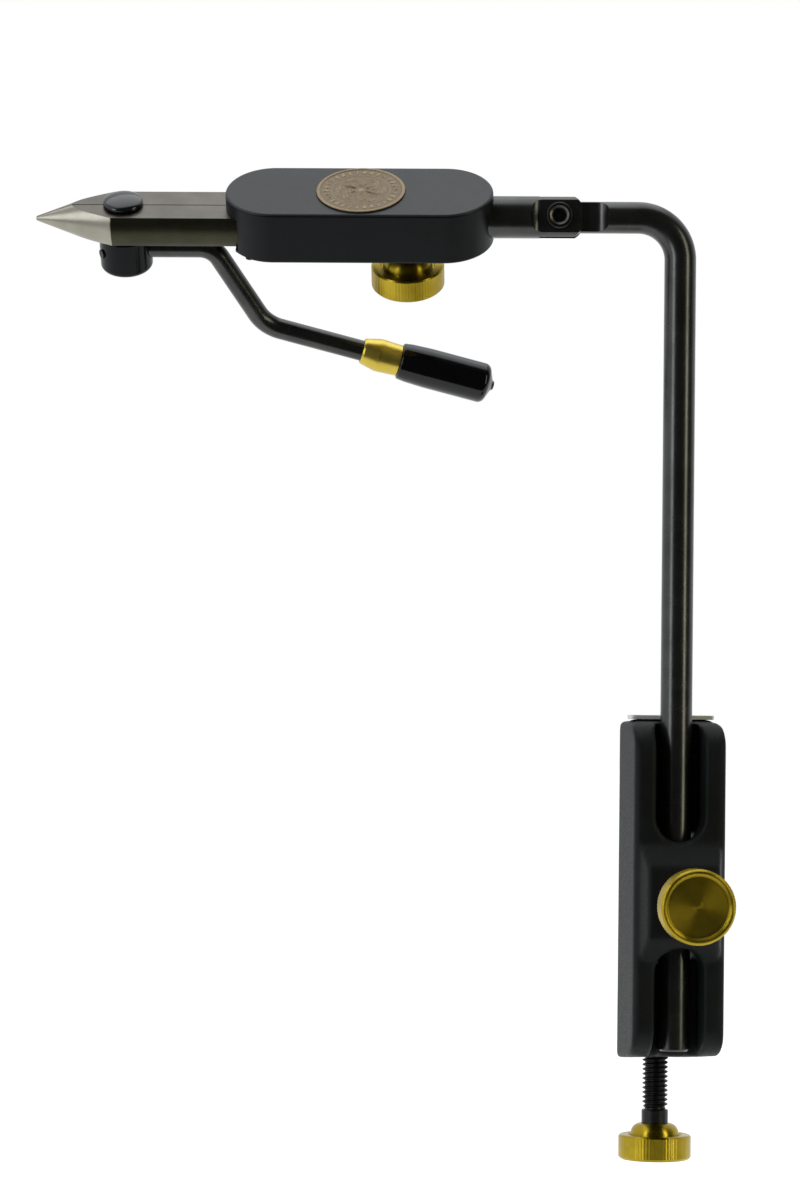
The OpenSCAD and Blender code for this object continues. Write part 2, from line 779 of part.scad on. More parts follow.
module jaw(side) {
    color(gunmetal) in_head() translate([0, 0, -jaw_drop]) scale([1, side, 1])
    difference() {
        jaw_blank();
        translate([0, -2 * bar_d + slit / 2, -bar_d]) cube([2 * cone_x, 2 * bar_d, 2 * bar_d]);
        translate([0, -2 * bar_d + tail_gap / 2, -bar_d])
            cube([pivot_x - pivot_d, 2 * bar_d, 2 * bar_d]);
        translate([pivot_x, pivot_y, -bar_d])
            cylinder(h = 2 * bar_d, r = pivot_d / 2 + running_gap);
        translate([cam_x - window_long, -cam_short, -bar_d])
            cube([2 * window_long, 2 * cam_short + cam_window, 2 * bar_d]);
        translate([spring_x, 0, 0]) rotate([-90, 0, 0])
            cylinder(h = tail_gap / 2 + spring_pocket, r = spring_d / 2 + moving_gap);
    }
}

module jaw_near() {
    jaw(1);
}

module jaw_far() {
    jaw(-1);
}

// The spring's wire: a helix about Y whose two ends run straight for one wire diameter
spring_coil_r = (spring_d - wire_d) / 2;
spring_l = tail_gap + 2 * spring_pocket - 2 * moving_gap - wire_d;
rings_per_curl = 8;
wire_sides = 6;
helix_rings = curls * rings_per_curl;

function helix_point(i) =
    let (a = 360 * i / rings_per_curl)
    [spring_coil_r * cos(a), spring_l * (i / helix_rings - 0.5), spring_coil_r * sin(a)];

function helix_way(i) =
    let (a = 360 * i / rings_per_curl,
         turn_l = spring_coil_r * 2 * PI * curls,
         v = [-turn_l * sin(a), spring_l, turn_l * cos(a)])
    v / norm(v);

spring_path = [helix_point(0) - wire_d * helix_way(0),
               for (i = [0 : helix_rings]) helix_point(i),
               helix_point(helix_rings) + wire_d * helix_way(helix_rings)];
spring_angles = [0, for (i = [0 : helix_rings]) 360 * i / rings_per_curl, 360 * curls];

function wire_ring(k) =
    let (out = [cos(spring_angles[k]), 0, sin(spring_angles[k])],
         way = helix_way(max(0, min(helix_rings, k - 1))),
         over = cross(way, out))
    [for (s = [0 : wire_sides - 1])
        let (b = 360 * s / wire_sides)
        spring_path[k] + wire_d / 2 * (out * cos(b) + over * sin(b))];

// The least distance between the wire's surfaces on neighbouring curls
spring_gap = min([for (i = [0 : helix_rings - rings_per_curl])
                     norm(helix_point(i + rings_per_curl) - helix_point(i)) - wire_d]);
echo(spring_gap = spring_gap);

module jaw_spring() {
    rings = len(spring_path);
    points = [for (k = [0 : rings - 1]) each wire_ring(k)];
    side_faces = [for (k = [0 : rings - 2], s = [0 : wire_sides - 1])
                      let (a = k * wire_sides + s, b = k * wire_sides + (s + 1) % wire_sides)
                      each [[a, b, b + wire_sides], [a, b + wire_sides, a + wire_sides]]];
    end_faces = [for (s = [1 : wire_sides - 2])
                     each [[0, s + 1, s],
                           [(rings - 1) * wire_sides, (rings - 1) * wire_sides + s,
                            (rings - 1) * wire_sides + s + 1]]];
    color(bright_steel) in_head() translate([spring_x, 0, -jaw_drop])
        polyhedron(points, concat(side_faces, end_faces));
}

module at_cam() {
    in_head() translate([cam_x, 0, 0]) children();
}

module cam_shaft() {
    color(bright_steel) at_cam() {
        translate([0, 0, drum_top]) linear_extrude(button_z - drum_top)
            polygon([for (i = [0 : cam_facets - 1])
                         let (a = 360 * i / cam_facets) [cam_long * cos(a), cam_short * sin(a)]]);
        translate([0, 0, drum_top - drum_stub])
            cylinder(h = button_z - drum_top + drum_stub + button_stub, r = stub_r);
    }
}

module cam_button() {
    r = button_d / 2;
    color(gloss_black) at_cam() translate([0, 0, button_z])
    difference() {
        rotate_extrude()
            polygon([[0, 0], [r - press_gap, 0],
                     for (a = [0 : 15 : 90])
                         [r * cos(a), button_rim + (button_h - button_rim) * sin(a)]]);
        translate([0, 0, -cut]) cylinder(h = cut + button_stub + press_gap, r = stub_r + press_gap);
    }
}

module cam_drum() {
    r = drum_d / 2;
    color(gloss_black) at_cam()
    difference() {
        translate([0, 0, drum_bottom]) rotate_extrude()
            polygon([[0, 0], for (a = [-90 : 15 : 0])
                         [r - drum_round + drum_round * cos(a), drum_round + drum_round * sin(a)],
                     [r, drum_h], [0, drum_h]]);
        translate([0, 0, drum_top - drum_stub - press_gap])
            cylinder(h = drum_stub + cut, r = stub_r + press_gap);
        translate([0, 0, rod_z]) rotate([0, -90, 0])
            translate([0, 0, -rod_in_drum - press_gap]) cylinder(h = drum_d, r = rod_r + press_gap);
        at_set_screw() cylinder(h = drum_d, r = set_screw_r + press_gap);
    }
}

module at_set_screw() {
    translate([0, 0, rod_z]) rotate([0, 0, set_screw_turn]) rotate([0, 90, 0])
        translate([0, 0, drum_d / 2 + set_screw_proud - set_screw_l]) children();
}

module lever_set_screw() {
    color(bright_steel) at_cam()
    difference() {
        at_set_screw() cylinder(h = set_screw_l, r = set_screw_r);
        translate([0, 0, rod_z]) rotate([0, 90, 0])
            cylinder(h = rod_in_drum + 2 * press_gap, r = rod_r + press_gap);
    }
}

// Frames along the lever: X runs down the rod, and the corners are the origins
module at_corner_1() {
    at_cam() translate([-rod_run, 0, rod_z]) rotate([0, 0, 180]) children();
}

module at_corner_2() {
    at_corner_1() rotate([0, leg_slope, 0]) translate([leg_l, 0, 0]) children();
}

module on_grip_leg() {
    at_corner_2() rotate([0, grip_slope - leg_slope, 0]) children();
}

function tangent_l(turn) = rod_bend_r * tan(turn / 2);

// The bend of the rod at a corner where it turns downwards. It is drawn a hair thinner than the
// straight rod and reaches a little way into both straights.
module rod_corner(turn) {
    translate([-tangent_l(turn), 0, -rod_bend_r]) rotate([90, 0, 0])
        rotate([0, 0, 90 - turn - bend_lap]) rotate_extrude(angle = turn + 2 * bend_lap)
            translate([rod_bend_r, 0]) circle(rod_r - press_gap / 2);
}

module lever_rod() {
    turn_2 = leg_slope - grip_slope;
    t1 = tangent_l(leg_slope);
    t2 = tangent_l(turn_2);
    color(oxide_black) {
        at_corner_1() translate([-rod_run - rod_in_drum, 0, 0]) rotate([0, 90, 0])
            cylinder(h = rod_run + rod_in_drum - t1, r = rod_r);
        at_corner_1() rod_corner(leg_slope);
        at_corner_1() rotate([0, leg_slope, 0]) translate([t1, 0, 0]) rotate([0, 90, 0])
            cylinder(h = leg_l - t1 - t2, r = rod_r);
        at_corner_2() rotate([180, 0, 0]) rod_corner(turn_2);
        on_grip_leg() translate([t2, 0, 0]) rotate([0, 90, 0])
            cylinder(h = reach_l - t2 - grip_wall_end, r = rod_r);
    }
}

// A chamfered cone, and a barrel that tapers a little towards the grip
module lever_ferrule() {
    wall = ferrule_d / 2 - rod_r;
    cone_l = ferrule_l * 0.4;
    color(brass) on_grip_leg() translate([reach_l - grip_l - ferrule_l, 0, 0]) rotate([0, 90, 0])
    rotate_extrude()
        polygon([[rod_r + press_gap, 0], [rod_r + wall * 0.25, 0], [rod_r + wall * 0.4, wall * 0.25],
                 [rod_r + wall, cone_l], [rod_r + wall, cone_l + wall * 0.3],
                 [rod_r + wall * 0.85, ferrule_l], [rod_r + press_gap, ferrule_l]]);
}

// A dipped sleeve with a blunt cone for an end, and a small nub where the last drop hung
module lever_grip() {
    r = grip_d / 2;
    cone_r = r - grip_round * (1 - cos(cone_slope));
    round_z = grip_l - nub_h - (cone_r - nub_r) / tan(cone_slope) - grip_round * sin(cone_slope);
    color(gloss_black) on_grip_leg() translate([reach_l - grip_l, 0, 0]) rotate([0, 90, 0])
    difference() {
        rotate_extrude()
            polygon([[0, 0], [r * 0.88, 0], [r * 0.94, grip_l * 0.02], [r * 0.96, grip_l * 0.05],
                     [r, grip_l * 0.2],
                     for (a = [0 : 15 : cone_slope])
                         [r - grip_round + grip_round * cos(a), round_z + grip_round * sin(a)],
                     [nub_r, grip_l - nub_h], [nub_r * 0.7, grip_l], [0, grip_l]]);
        translate([0, 0, -cut])
            cylinder(h = cut + grip_l - grip_wall_end + press_gap, r = rod_r + press_gap);
    }
}

clamp_body();
top_plate();
pressure_pad();
clamp_screw();
clamp_screw_knob();
stem_lock_shoe();
stem_lock_screw();
stem_lock_knob();
stem();
head_shank();
knuckle_screw();
head_housing();
bottom_cover();
cover_screws();
medallion();
jaw_pivot_pins();
head_lock_shoe();
head_lock_screw();
head_lock_knob();
jaw_near();
jaw_far();
jaw_spring();
cam_shaft();
cam_button();
cam_drum();
lever_set_screw();
lever_rod();
lever_ferrule();
lever_grip();
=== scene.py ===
import json
import math

import bmesh
import bpy
from mathutils import Matrix, Vector

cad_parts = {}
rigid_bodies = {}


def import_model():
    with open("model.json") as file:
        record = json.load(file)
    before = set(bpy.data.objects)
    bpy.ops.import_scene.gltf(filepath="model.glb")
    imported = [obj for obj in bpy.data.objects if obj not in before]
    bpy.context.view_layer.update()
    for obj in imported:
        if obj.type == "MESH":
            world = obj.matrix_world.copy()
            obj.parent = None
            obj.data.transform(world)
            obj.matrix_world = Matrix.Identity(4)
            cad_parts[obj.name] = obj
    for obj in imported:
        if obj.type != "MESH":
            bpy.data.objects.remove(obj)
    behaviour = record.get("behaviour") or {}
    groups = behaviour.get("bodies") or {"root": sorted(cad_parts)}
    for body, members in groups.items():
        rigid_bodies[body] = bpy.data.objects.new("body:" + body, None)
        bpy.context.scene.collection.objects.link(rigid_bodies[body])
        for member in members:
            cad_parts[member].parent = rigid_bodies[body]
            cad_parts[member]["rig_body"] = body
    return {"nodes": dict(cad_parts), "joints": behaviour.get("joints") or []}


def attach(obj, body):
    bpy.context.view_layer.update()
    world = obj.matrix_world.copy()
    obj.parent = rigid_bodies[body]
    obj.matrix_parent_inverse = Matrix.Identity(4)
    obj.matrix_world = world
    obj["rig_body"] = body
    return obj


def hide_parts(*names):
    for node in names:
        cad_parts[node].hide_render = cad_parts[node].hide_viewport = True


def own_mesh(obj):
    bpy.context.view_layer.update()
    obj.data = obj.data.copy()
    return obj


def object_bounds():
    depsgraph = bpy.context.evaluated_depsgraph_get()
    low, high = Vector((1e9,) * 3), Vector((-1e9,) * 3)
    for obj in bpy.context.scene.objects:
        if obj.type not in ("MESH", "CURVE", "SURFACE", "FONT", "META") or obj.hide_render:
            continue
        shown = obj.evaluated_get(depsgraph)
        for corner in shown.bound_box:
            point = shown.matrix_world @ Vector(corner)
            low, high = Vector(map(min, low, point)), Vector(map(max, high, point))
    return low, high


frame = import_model()
cad_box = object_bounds()
MM = 0.001
QUARTER = math.pi / 2
FULL = 2 * math.pi

# Frames of the moving parts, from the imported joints
JOINTS = {j["name"]: j for j in frame["joints"]}


def frame_at(origin, x_way, z_way):
    """A matrix whose Z lies along z_way, and whose X is as near x_way as that allows."""
    z = Vector(z_way).normalized()
    y = z.cross(Vector(x_way)).normalized()
    x = y.cross(z)
    return Matrix.Translation(origin) @ Matrix((x, y, z)).transposed().to_4x4()


def at(x, y, z):
    return Matrix.Translation(Vector((x, y, z)) * MM)


def joint_frame(name, x_way):
    return frame_at(JOINTS[name]["pos_m"], x_way, JOINTS[name]["axis"])


STEM_Y = -29.5
KNUCKLE = Vector(JOINTS["head_roll"]["pos_m"])
STEM_TOP = Vector((0, STEM_Y * MM, KNUCKLE.z))
ALONG_HEAD = Vector(JOINTS["head_roll"]["axis"])
UP = Vector((0, 0, 1))
WORLD = Matrix.Identity(4)
ARM = frame_at(STEM_TOP, -ALONG_HEAD, UP)
HEAD = frame_at(KNUCKLE, ALONG_HEAD, JOINTS["cam_lever"]["axis"])
FORK = frame_at(KNUCKLE, ALONG_HEAD, UP)
CAM = joint_frame("cam_lever", ALONG_HEAD)
STEM_LOCK = joint_frame("stem_lock_turn", (1, 0, 0))
HEAD_LOCK = joint_frame("head_lock_turn", ALONG_HEAD)
CLAMP_SCREW = frame_at((0, 0, 0), (1, 0, 0), -UP)

# Turns that bring a mesh made about Z, or in the plane of X and Y, into place
Z_TO_X = Matrix.Rotation(QUARTER, 4, "Y")
Z_TO_MINUS_X = Matrix.Rotation(-QUARTER, 4, "Y")
Z_TO_Y = Matrix.Rotation(-QUARTER, 4, "X")
Y_TO_Z = Matrix.Rotation(QUARTER, 4, "X")

# Flat outlines, as lists of points. A corner's arc takes at most this share of its edges.
CORNER_SHARE = 0.49


def arc(x, y, r, start, end, steps):
    """Points on a circle from one angle to another, in degrees."""
    turns = [math.radians(start + (end - start) * k / steps) for k in range(steps + 1)]
    return [(x + r * math.cos(a), y + r * math.sin(a)) for a in turns]


def rounded(points, radius, steps=4, closed=False):
    """The outline with each corner as an arc. A point's third value is its own radius."""
    out = []
    for i, point in enumerate(points):
        r = point[2] if len(point) > 2 else radius
        corner = Vector(point[:2])
        before = Vector(points[i - 1][:2]) - corner
        after = Vector(points[(i + 1) % len(points)][:2]) - corner
        if r == 0 or (not closed and i in (0, len(points) - 1)) or before.length * after.length == 0:
            out.append(tuple(corner))
            continue
        half = before.angle(after) / 2
        reach = min(r / math.tan(half), CORNER_SHARE * before.length, CORNER_SHARE * after.length)
        r = reach * math.tan(half)
        middle = (before.normalized() + after.normalized()).normalized() * (r / math.sin(half))
        start = before.normalized() * reach - middle
        end = after.normalized() * reach - middle
        span = start.angle(end)
        for k in range(steps + 1):
            t = k / steps
            spoke = start * math.sin((1 - t) * span) + end * math.sin(t * span)
            out.append(tuple(corner + middle + spoke / math.sin(span)))
    return out


def slot_outline(x0, x1, r, steps=64):
    """A slab's plan with round ends of radius r."""
    return arc(x0 + r, 0, r, 90, 270, steps) + arc(x1 - r, 0, r, -90, 90, steps)


def box_outline(x0, y0, x1, y1, r=0.0):
    corners = [(x0, y0), (x1, y0), (x1, y1), (x0, y1)]
    return rounded(corners, r, 6, closed=True) if r else corners


# Meshes. Points nearer than JOINED are joined, and edges shorter than SLIVER are dropped.
JOINED = 0.0005
SLIVER = 0.0004
FLAT_ANGLE = math.radians(0.5)
BEND_STEPS = 28


def tidy(bm):
    bmesh.ops.remove_doubles(bm, verts=bm.verts, dist=JOINED * MM)
    bmesh.ops.dissolve_degenerate(bm, dist=SLIVER * MM, edges=bm.edges)
    bmesh.ops.recalc_face_normals(bm, faces=bm.faces)


def mesh_from(points, faces, move=WORLD):
    mesh = bpy.data.meshes.new("shape")
    mesh.from_pydata([tuple(c * MM for c in p) for p in points], [], faces)
    bm = bmesh.new()
    bm.from_mesh(mesh)
    tidy(bm)
    bm.transform(move)
    bm.to_mesh(mesh)
    bm.free()
    return mesh


def loft(rings, move=WORLD):
    """A skin over closed rings of equally many points, with a flat cap at each end."""
    n = len(rings[0])
    faces = [tuple(range(n)), tuple(range((len(rings) - 1) * n, len(rings) * n))]
    for i in range(len(rings) - 1):
        for k in range(n):
            a, b = i * n + k, i * n + (k + 1) % n
            faces.append((a, b, b + n, a + n))
    return mesh_from([p for ring in rings for p in ring], faces, move)


def prism(outline, low, high, move=WORLD):
    """The outline drawn out along Z."""
    return loft([[(x, y, z) for x, y in outline] for z in (low, high)], move)


def lathe(outline, around=96, relief=None, move=WORLD, closed=False):
    """An outline of radius and height, turned about Z. The relief adds to the radius."""
    n = len(outline)
    points = []
    for k in range(around):
        a = FULL * k / around
        for r, z in outline:
            grown = r + (relief(r, z, a) if relief else 0)
            points.append((grown * math.cos(a), grown * math.sin(a), z))
    faces = []
    for k in range(around):
        j = (k + 1) % around
        for i in range(n if closed else n - 1):
            m = (i + 1) % n
            faces.append((k * n + i, j * n + i, j * n + m, k * n + m))
    return mesh_from(points, faces, move)


def cylinder(r, low, high, around=64, move=WORLD):
    return lathe([(0, low), (r, low), (r, high), (0, high)], around, move=move)


def bent_bar(corners, bend, r, chamfer, sides=64, move=WORLD):
    """A round bar whose axis lies in the plane of X and Z. A corner's third value is its own bend."""
    path = [Vector((x, 0, z)) for x, z in rounded(corners, bend, BEND_STEPS)]
    start, end = (path[1] - path[0]).normalized(), (path[-1] - path[-2]).normalized()
    path[1:1] = [path[0] + start * chamfer]
    path[-1:-1] = [path[-1] - end * chamfer]
    turns = [FULL * k / sides for k in range(sides)]
    across = Vector((0, 1, 0))
    rings = []
    for i, point in enumerate(path):
        way = (path[min(i + 1, len(path) - 1)] - path[max(i - 1, 0)]).normalized()
        side = way.cross(across)
        radius = r - chamfer if i in (0, len(path) - 1) else r
        rings.append([point + radius * (math.cos(a) * side + math.sin(a) * across) for a in turns])
    return loft(rings, move)


def show(mesh, name="blank"):
    item = bpy.data.objects.new(name, mesh)
    bpy.context.scene.collection.objects.link(item)
    return item


def applied(item):
    """The item's mesh with its modifiers applied. The item itself goes."""
    bpy.context.view_layer.update()
    depsgraph = bpy.context.evaluated_depsgraph_get()
    mesh = bpy.data.meshes.new_from_object(item.evaluated_get(depsgraph), depsgraph=depsgraph)
    bpy.data.objects.remove(item)
    return mesh


def carve(mesh, *cutters, way="DIFFERENCE"):
    """The mesh less its cutters, or what of it lies within them where way is INTERSECT."""
    blank = show(mesh)
    tools = [show(cutter, "cutter") for cutter in cutters]
    for tool in tools:
        step = blank.modifiers.new("cut", "BOOLEAN")
        step.operation = way
        step.solver = "EXACT"
        step.object = tool
    mesh = applied(blank)
    for tool in tools:
        bpy.data.objects.remove(tool)
    bm = bmesh.new()
    bm.from_mesh(mesh)
    tidy(bm)
    bm.to_mesh(mesh)
    bm.free()
    return mesh


def cad_mesh(node, local):
    """The CAD node's mesh in the coordinates of local, with doubled points and flat faces joined."""
    mesh = frame["nodes"][node].data.copy()
    mesh.transform(local.inverted())
    bm = bmesh.new()
    bm.from_mesh(mesh)
    tidy(bm)
    all_of = {"verts": bm.verts, "edges": bm.edges}
    bmesh.ops.dissolve_limit(bm, angle_limit=FLAT_ANGLE, delimit={"NORMAL"}, **all_of)
    bm.to_mesh(mesh)
    bm.free()
    return mesh


# Node materials
def new_material(name):
    mat = bpy.data.materials.new(name)
    mat.use_nodes = True
    return mat, mat.node_tree.nodes, mat.node_tree.links


def stretched(nodes, links, scale):
    """The piece's own coordinates, stretched by scale along each axis."""
    coords = nodes.new("ShaderNodeTexCoord")
    mapping = nodes.new("ShaderNodeMapping")
    mapping.inputs["Scale"].default_value = scale
    links.new(coords.outputs["Object"], mapping.inputs["Vector"])
    return mapping.outputs["Vector"]


def about_z(nodes, links, scale):
    """Distance from the axis and height along it, both times scale: rings as a lathe leaves them."""
    parts = nodes.new("ShaderNodeSeparateXYZ")
    links.new(stretched(nodes, links, (scale,) * 3), parts.inputs[0])
    flat = nodes.new("ShaderNodeCombineXYZ")
    links.new(parts.outputs["X"], flat.inputs["X"])
    links.new(parts.outputs["Y"], flat.inputs["Y"])
    length = nodes.new("ShaderNodeVectorMath")
    length.operation = "LENGTH"
    links.new(flat.outputs[0], length.inputs[0])
    out = nodes.new("ShaderNodeCombineXYZ")
    links.new(length.outputs["Value"], out.inputs["X"])
    links.new(parts.outputs["Z"], out.inputs["Z"])
    return out.outputs[0]


def noise(nodes, links, vector, detail=3.0, rough=0.55):
    tex = nodes.new("ShaderNodeTexNoise")
    tex.inputs["Scale"].default_value = 1.0
    tex.inputs["Detail"].default_value = detail
    tex.inputs["Roughness"].default_value = rough
    links.new(vector, tex.inputs["Vector"])
    return tex.outputs["Fac"]


def ramp(nodes, links, value, stops):
    """Turns a 0 to 1 value into colours."""
    node = nodes.new("ShaderNodeValToRGB")
    while len(node.color_ramp.elements) < len(stops):
        node.color_ramp.elements.new(0.5)
    for element, (pos, colour) in zip(node.color_ramp.elements, stops):
        element.position = pos
        element.color = (*colour, 1.0)
    links.new(value, node.inputs["Fac"])
    return node.outputs["Color"]


def to_range(nodes, links, value, low, high, start=0.3, end=0.7):
    """The value, from start to end, as one from low to high. Noise lies mostly between 0.3 and 0.7."""
    node = nodes.new("ShaderNodeMapRange")
    node.inputs["From Min"].default_value = start
    node.inputs["From Max"].default_value = end
    node.inputs["To Min"].default_value = low
    node.inputs["To Max"].default_value = high
    links.new(value, node.inputs["Value"])
    return node.outputs["Result"]


def bump(nodes, links, value, depth):
    """A bump whose full height is depth millimetres."""
    node = nodes.new("ShaderNodeBump")
    node.inputs["Distance"].default_value = depth * MM
    node.inputs["Strength"].default_value = 1.0
    links.new(value, node.inputs["Height"])
    return node.outputs["Normal"]


# Blotches and the medallion's stain, in cells per metre, and the noise at which each tint is full
BLOTCHES = 120
BLOTCH_EDGES = (0.35, 0.65)
STAIN = 900
STAIN_DEPTH = 0.16


def finish_material(name, tints, grain, depth, rough, metallic=0.0, turned=False, **fixed):
    """A finish of two tints in blotches. A fine bump, grain cells per metre and depth mm high, also
    moves the roughness between the two values of rough."""
    mat, nodes, links = new_material(name)
    shader = nodes["Principled BSDF"]
    shader.inputs["Metallic"].default_value = metallic
    for socket, value in fixed.items():
        shader.inputs[socket.replace("_", " ")].default_value = value
    blotches = noise(nodes, links, stretched(nodes, links, (BLOTCHES,) * 3))
    tint = ramp(nodes, links, blotches, list(zip(BLOTCH_EDGES, tints)))
    links.new(tint, shader.inputs["Base Color"])
    vector = about_z(nodes, links, grain) if turned else stretched(nodes, links, grain)
    fine = noise(nodes, links, vector, detail=2.0)
    links.new(to_range(nodes, links, fine, *rough), shader.inputs["Roughness"])
    links.new(bump(nodes, links, fine, depth), shader.inputs["Normal"])
    if turned:
        way = nodes.new("ShaderNodeTangent")
        way.direction_type = "RADIAL"
        way.axis = "Z"
        links.new(way.outputs[0], shader.inputs["Tangent"])
    return mat


def relief_material(name, low, high, stops, rough):
    """A struck disc: its colour follows the height along Z, from low to high mm, and a stain."""
    mat, nodes, links = new_material(name)
    shader = nodes["Principled BSDF"]
    shader.inputs["Metallic"].default_value = 0.75
    parts = nodes.new("ShaderNodeSeparateXYZ")
    links.new(stretched(nodes, links, (1, 1, 1)), parts.inputs[0])
    height = to_range(nodes, links, parts.outputs["Z"], 0, 1, low * MM, high * MM)
    stain = noise(nodes, links, stretched(nodes, links, (STAIN,) * 3))
    mixed = nodes.new("ShaderNodeMath")
    mixed.operation = "ADD"
    links.new(to_range(nodes, links, stain, -STAIN_DEPTH, STAIN_DEPTH), mixed.inputs[0])
    links.new(height, mixed.inputs[1])
    links.new(ramp(nodes, links, mixed.outputs[0], stops), shader.inputs["Base Color"])
    links.new(to_range(nodes, links, stain, *rough), shader.inputs["Roughness"])
    return mat


POWDER_COAT = finish_material(
    "powder_coat", [(0.006, 0.0072, 0.007), (0.0085, 0.01, 0.0098)],
    grain=(1500, 1500, 1500), depth=0.04, rough=(0.46, 0.6), Specular_IOR_Level=0.11,
)
ANODISED = finish_material(
    "black_anodised", [(0.0095, 0.0115, 0.0135), (0.012, 0.0145, 0.0175)],
    grain=(500, 9000, 9000), depth=0.003, rough=(0.42, 0.5), Specular_IOR_Level=0.33,
)
# A darker, less shiny copy of the black anodising, for faces that don't face up: painted shade on the
# walls and the underside, so that only the top reads lit.
ANODISED_PAINTED_SHADE = finish_material(
    "black_anodised_painted_shade", [(0.0035, 0.0045, 0.005), (0.005, 0.006, 0.007)],
    grain=(500, 9000, 9000), depth=0.003, rough=(0.34, 0.4), Specular_IOR_Level=0.15,
)
OXIDE = finish_material(
    "black_oxide", [(0.046, 0.047, 0.044), (0.062, 0.063, 0.06)],
    grain=(60, 260, 260), depth=0.004, rough=(0.23, 0.28), metallic=0.85,
)
THREAD = finish_material(
    "black_thread", [(0.01, 0.01, 0.01), (0.015, 0.015, 0.014)],
    grain=(3000, 3000, 3000), depth=0.002, rough=(0.3, 0.4), metallic=0.7,
)
GUNMETAL = finish_material(
    "gunmetal", [(0.088, 0.081, 0.069), (0.108, 0.1, 0.085)],
    grain=(60, 9000, 9000), depth=0.005, rough=(0.3, 0.4), metallic=0.95,
)
GUNMETAL_SIDE = finish_material(
    "gunmetal_side", [(0.034, 0.034, 0.019), (0.043, 0.042, 0.026)],
    grain=(60, 9000, 9000), depth=0.004, rough=(0.32, 0.42), metallic=0.9,
)
BARE = finish_material(
    "bare_steel", [(0.235, 0.226, 0.182), (0.285, 0.275, 0.225)],
    grain=(60, 9000, 9000), depth=0.003, rough=(0.27, 0.34), metallic=1.0,
)
PLATED = finish_material(
    "plated_steel", [(0.68, 0.68, 0.63), (0.78, 0.78, 0.73)],
    grain=(3000, 3000, 3000), depth=0.003, rough=(0.42, 0.55), metallic=0.15,
)
BRIGHT = finish_material(
    "bright_steel", [(0.42, 0.42, 0.4), (0.5, 0.5, 0.48)],
    grain=(6000, 300, 6000), depth=0.003, rough=(0.22, 0.32), metallic=1.0,
)
BRASS = finish_material(
    "brass", [(0.31, 0.222, 0.013), (0.39, 0.284, 0.024)],
    grain=5000, depth=0.003, rough=(0.3, 0.37), metallic=1.0, turned=True,
    Anisotropic=0.85, Anisotropic_Rotation=0.25,
)
POLISHED = finish_material(
    "polished_brass", [(0.5, 0.38, 0.055), (0.58, 0.445, 0.08)],
    grain=4000, depth=0.0008, rough=(0.28, 0.36), metallic=0.9, turned=True,
)
GLOSS = finish_material(
    "gloss_black", [(0.0025, 0.0035, 0.004), (0.0035, 0.005, 0.006)],
    grain=(900, 900, 900), depth=0.001, rough=(0.1, 0.15), Specular_IOR_Level=0.12,
)
ENAMEL = finish_material(
    "black_enamel", [(0.004, 0.005, 0.007), (0.006, 0.007, 0.009)],
    grain=(900, 900, 900), depth=0.001, rough=(0.12, 0.18), Specular_IOR_Level=0.5,
)
DIPPED = finish_material(
    "dipped_vinyl", [(0.002, 0.002, 0.0025), (0.003, 0.003, 0.0035)],
    grain=(300, 300, 300), depth=0.02, rough=(0.08, 0.14), Specular_IOR_Level=0.3,
)


# Pieces
def body_with(node):
    return frame["nodes"][node]["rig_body"]


def add_piece(node, mesh, local, mats, edge=0.0, sharp=30):
    """A piece in place of a CAD node. Its edges over sharp degrees are rounded by edge mm, if any."""
    piece = show(mesh, "dressed_" + node)
    piece.matrix_world = local
    kept = [p.material_index for p in mesh.polygons]
    mesh.materials.clear()
    for mat in mats:
        mesh.materials.append(mat)
    mesh.polygons.foreach_set("material_index", [min(k, len(mats) - 1) for k in kept])
    mesh.polygons.foreach_set("use_smooth", [True] * len(mesh.polygons))
    if edge:
        soft = piece.modifiers.new("soft_edges", "BEVEL")
        soft.width = edge * MM
        soft.segments = 3
        soft.limit_method = "ANGLE"
        soft.angle_limit = math.radians(sharp)
    else:
        bm = bmesh.new()
        bm.from_mesh(mesh)
        for bend in bm.edges:
            bend.smooth = bend.calc_face_angle(0) < math.radians(sharp)
        bm.to_mesh(mesh)
        bm.free()
    piece.modifiers.new("even_shading", "WEIGHTED_NORMAL").keep_sharp = True
    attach(piece, body_with(node))
    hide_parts(node)
    return piece


def paint(mesh, test):
    """Gives each face the material that the test picks from its middle, in mm, and its normal."""
    for face in mesh.polygons:
        face.material_index = int(test(face.center / MM, face.normal))


def dress(node, local, mat, edge):
    return add_piece(node, cad_mesh(node, local), local, [mat], edge)


# A cutter reaches WASTE where its size doesn't matter, and stands PAST the face that it opens.
# Radii that differ by less than NEAR count as the same.
WASTE = 12
PAST = 1
NEAR = 0.01

# The stem, with the tongue milled at its arm's end
STEM_R = 4.7625
STEM_L = 249.5
STEM_CHAMFER = 0.6
BEND_R = 12.7
PIN_REACH = 36.3
TONGUE_T = 3.6
TONGUE_L = 10.8
TONGUE_END_R = 5.0
CUTTER_R = 4.5


def milled(x_far, x_cut, y_flat, side):
    """What a round cutter mills off one side, down to y_flat and as far as x_cut."""
    corner = arc(x_cut, y_flat + CUTTER_R, CUTTER_R, -90, 0, 12)
    plan = [(x_far, y_flat)] + corner + [(x_cut + CUTTER_R, WASTE), (x_far, WASTE)]
    return prism([(x, side * y) for x, y in plan], -WASTE, WASTE)


def end_waste(x, r):
    """What rounds the end of a bar that points along -X, to the radius r about x."""
    curve = arc(x, 0, r, 90, 270, 40)
    far = x - 2 * WASTE
    plan = [(x, WASTE)] + curve + [(x, -WASTE), (far, -WASTE), (far, WASTE)]
    return prism(plan, -WASTE, WASTE, Y_TO_Z)


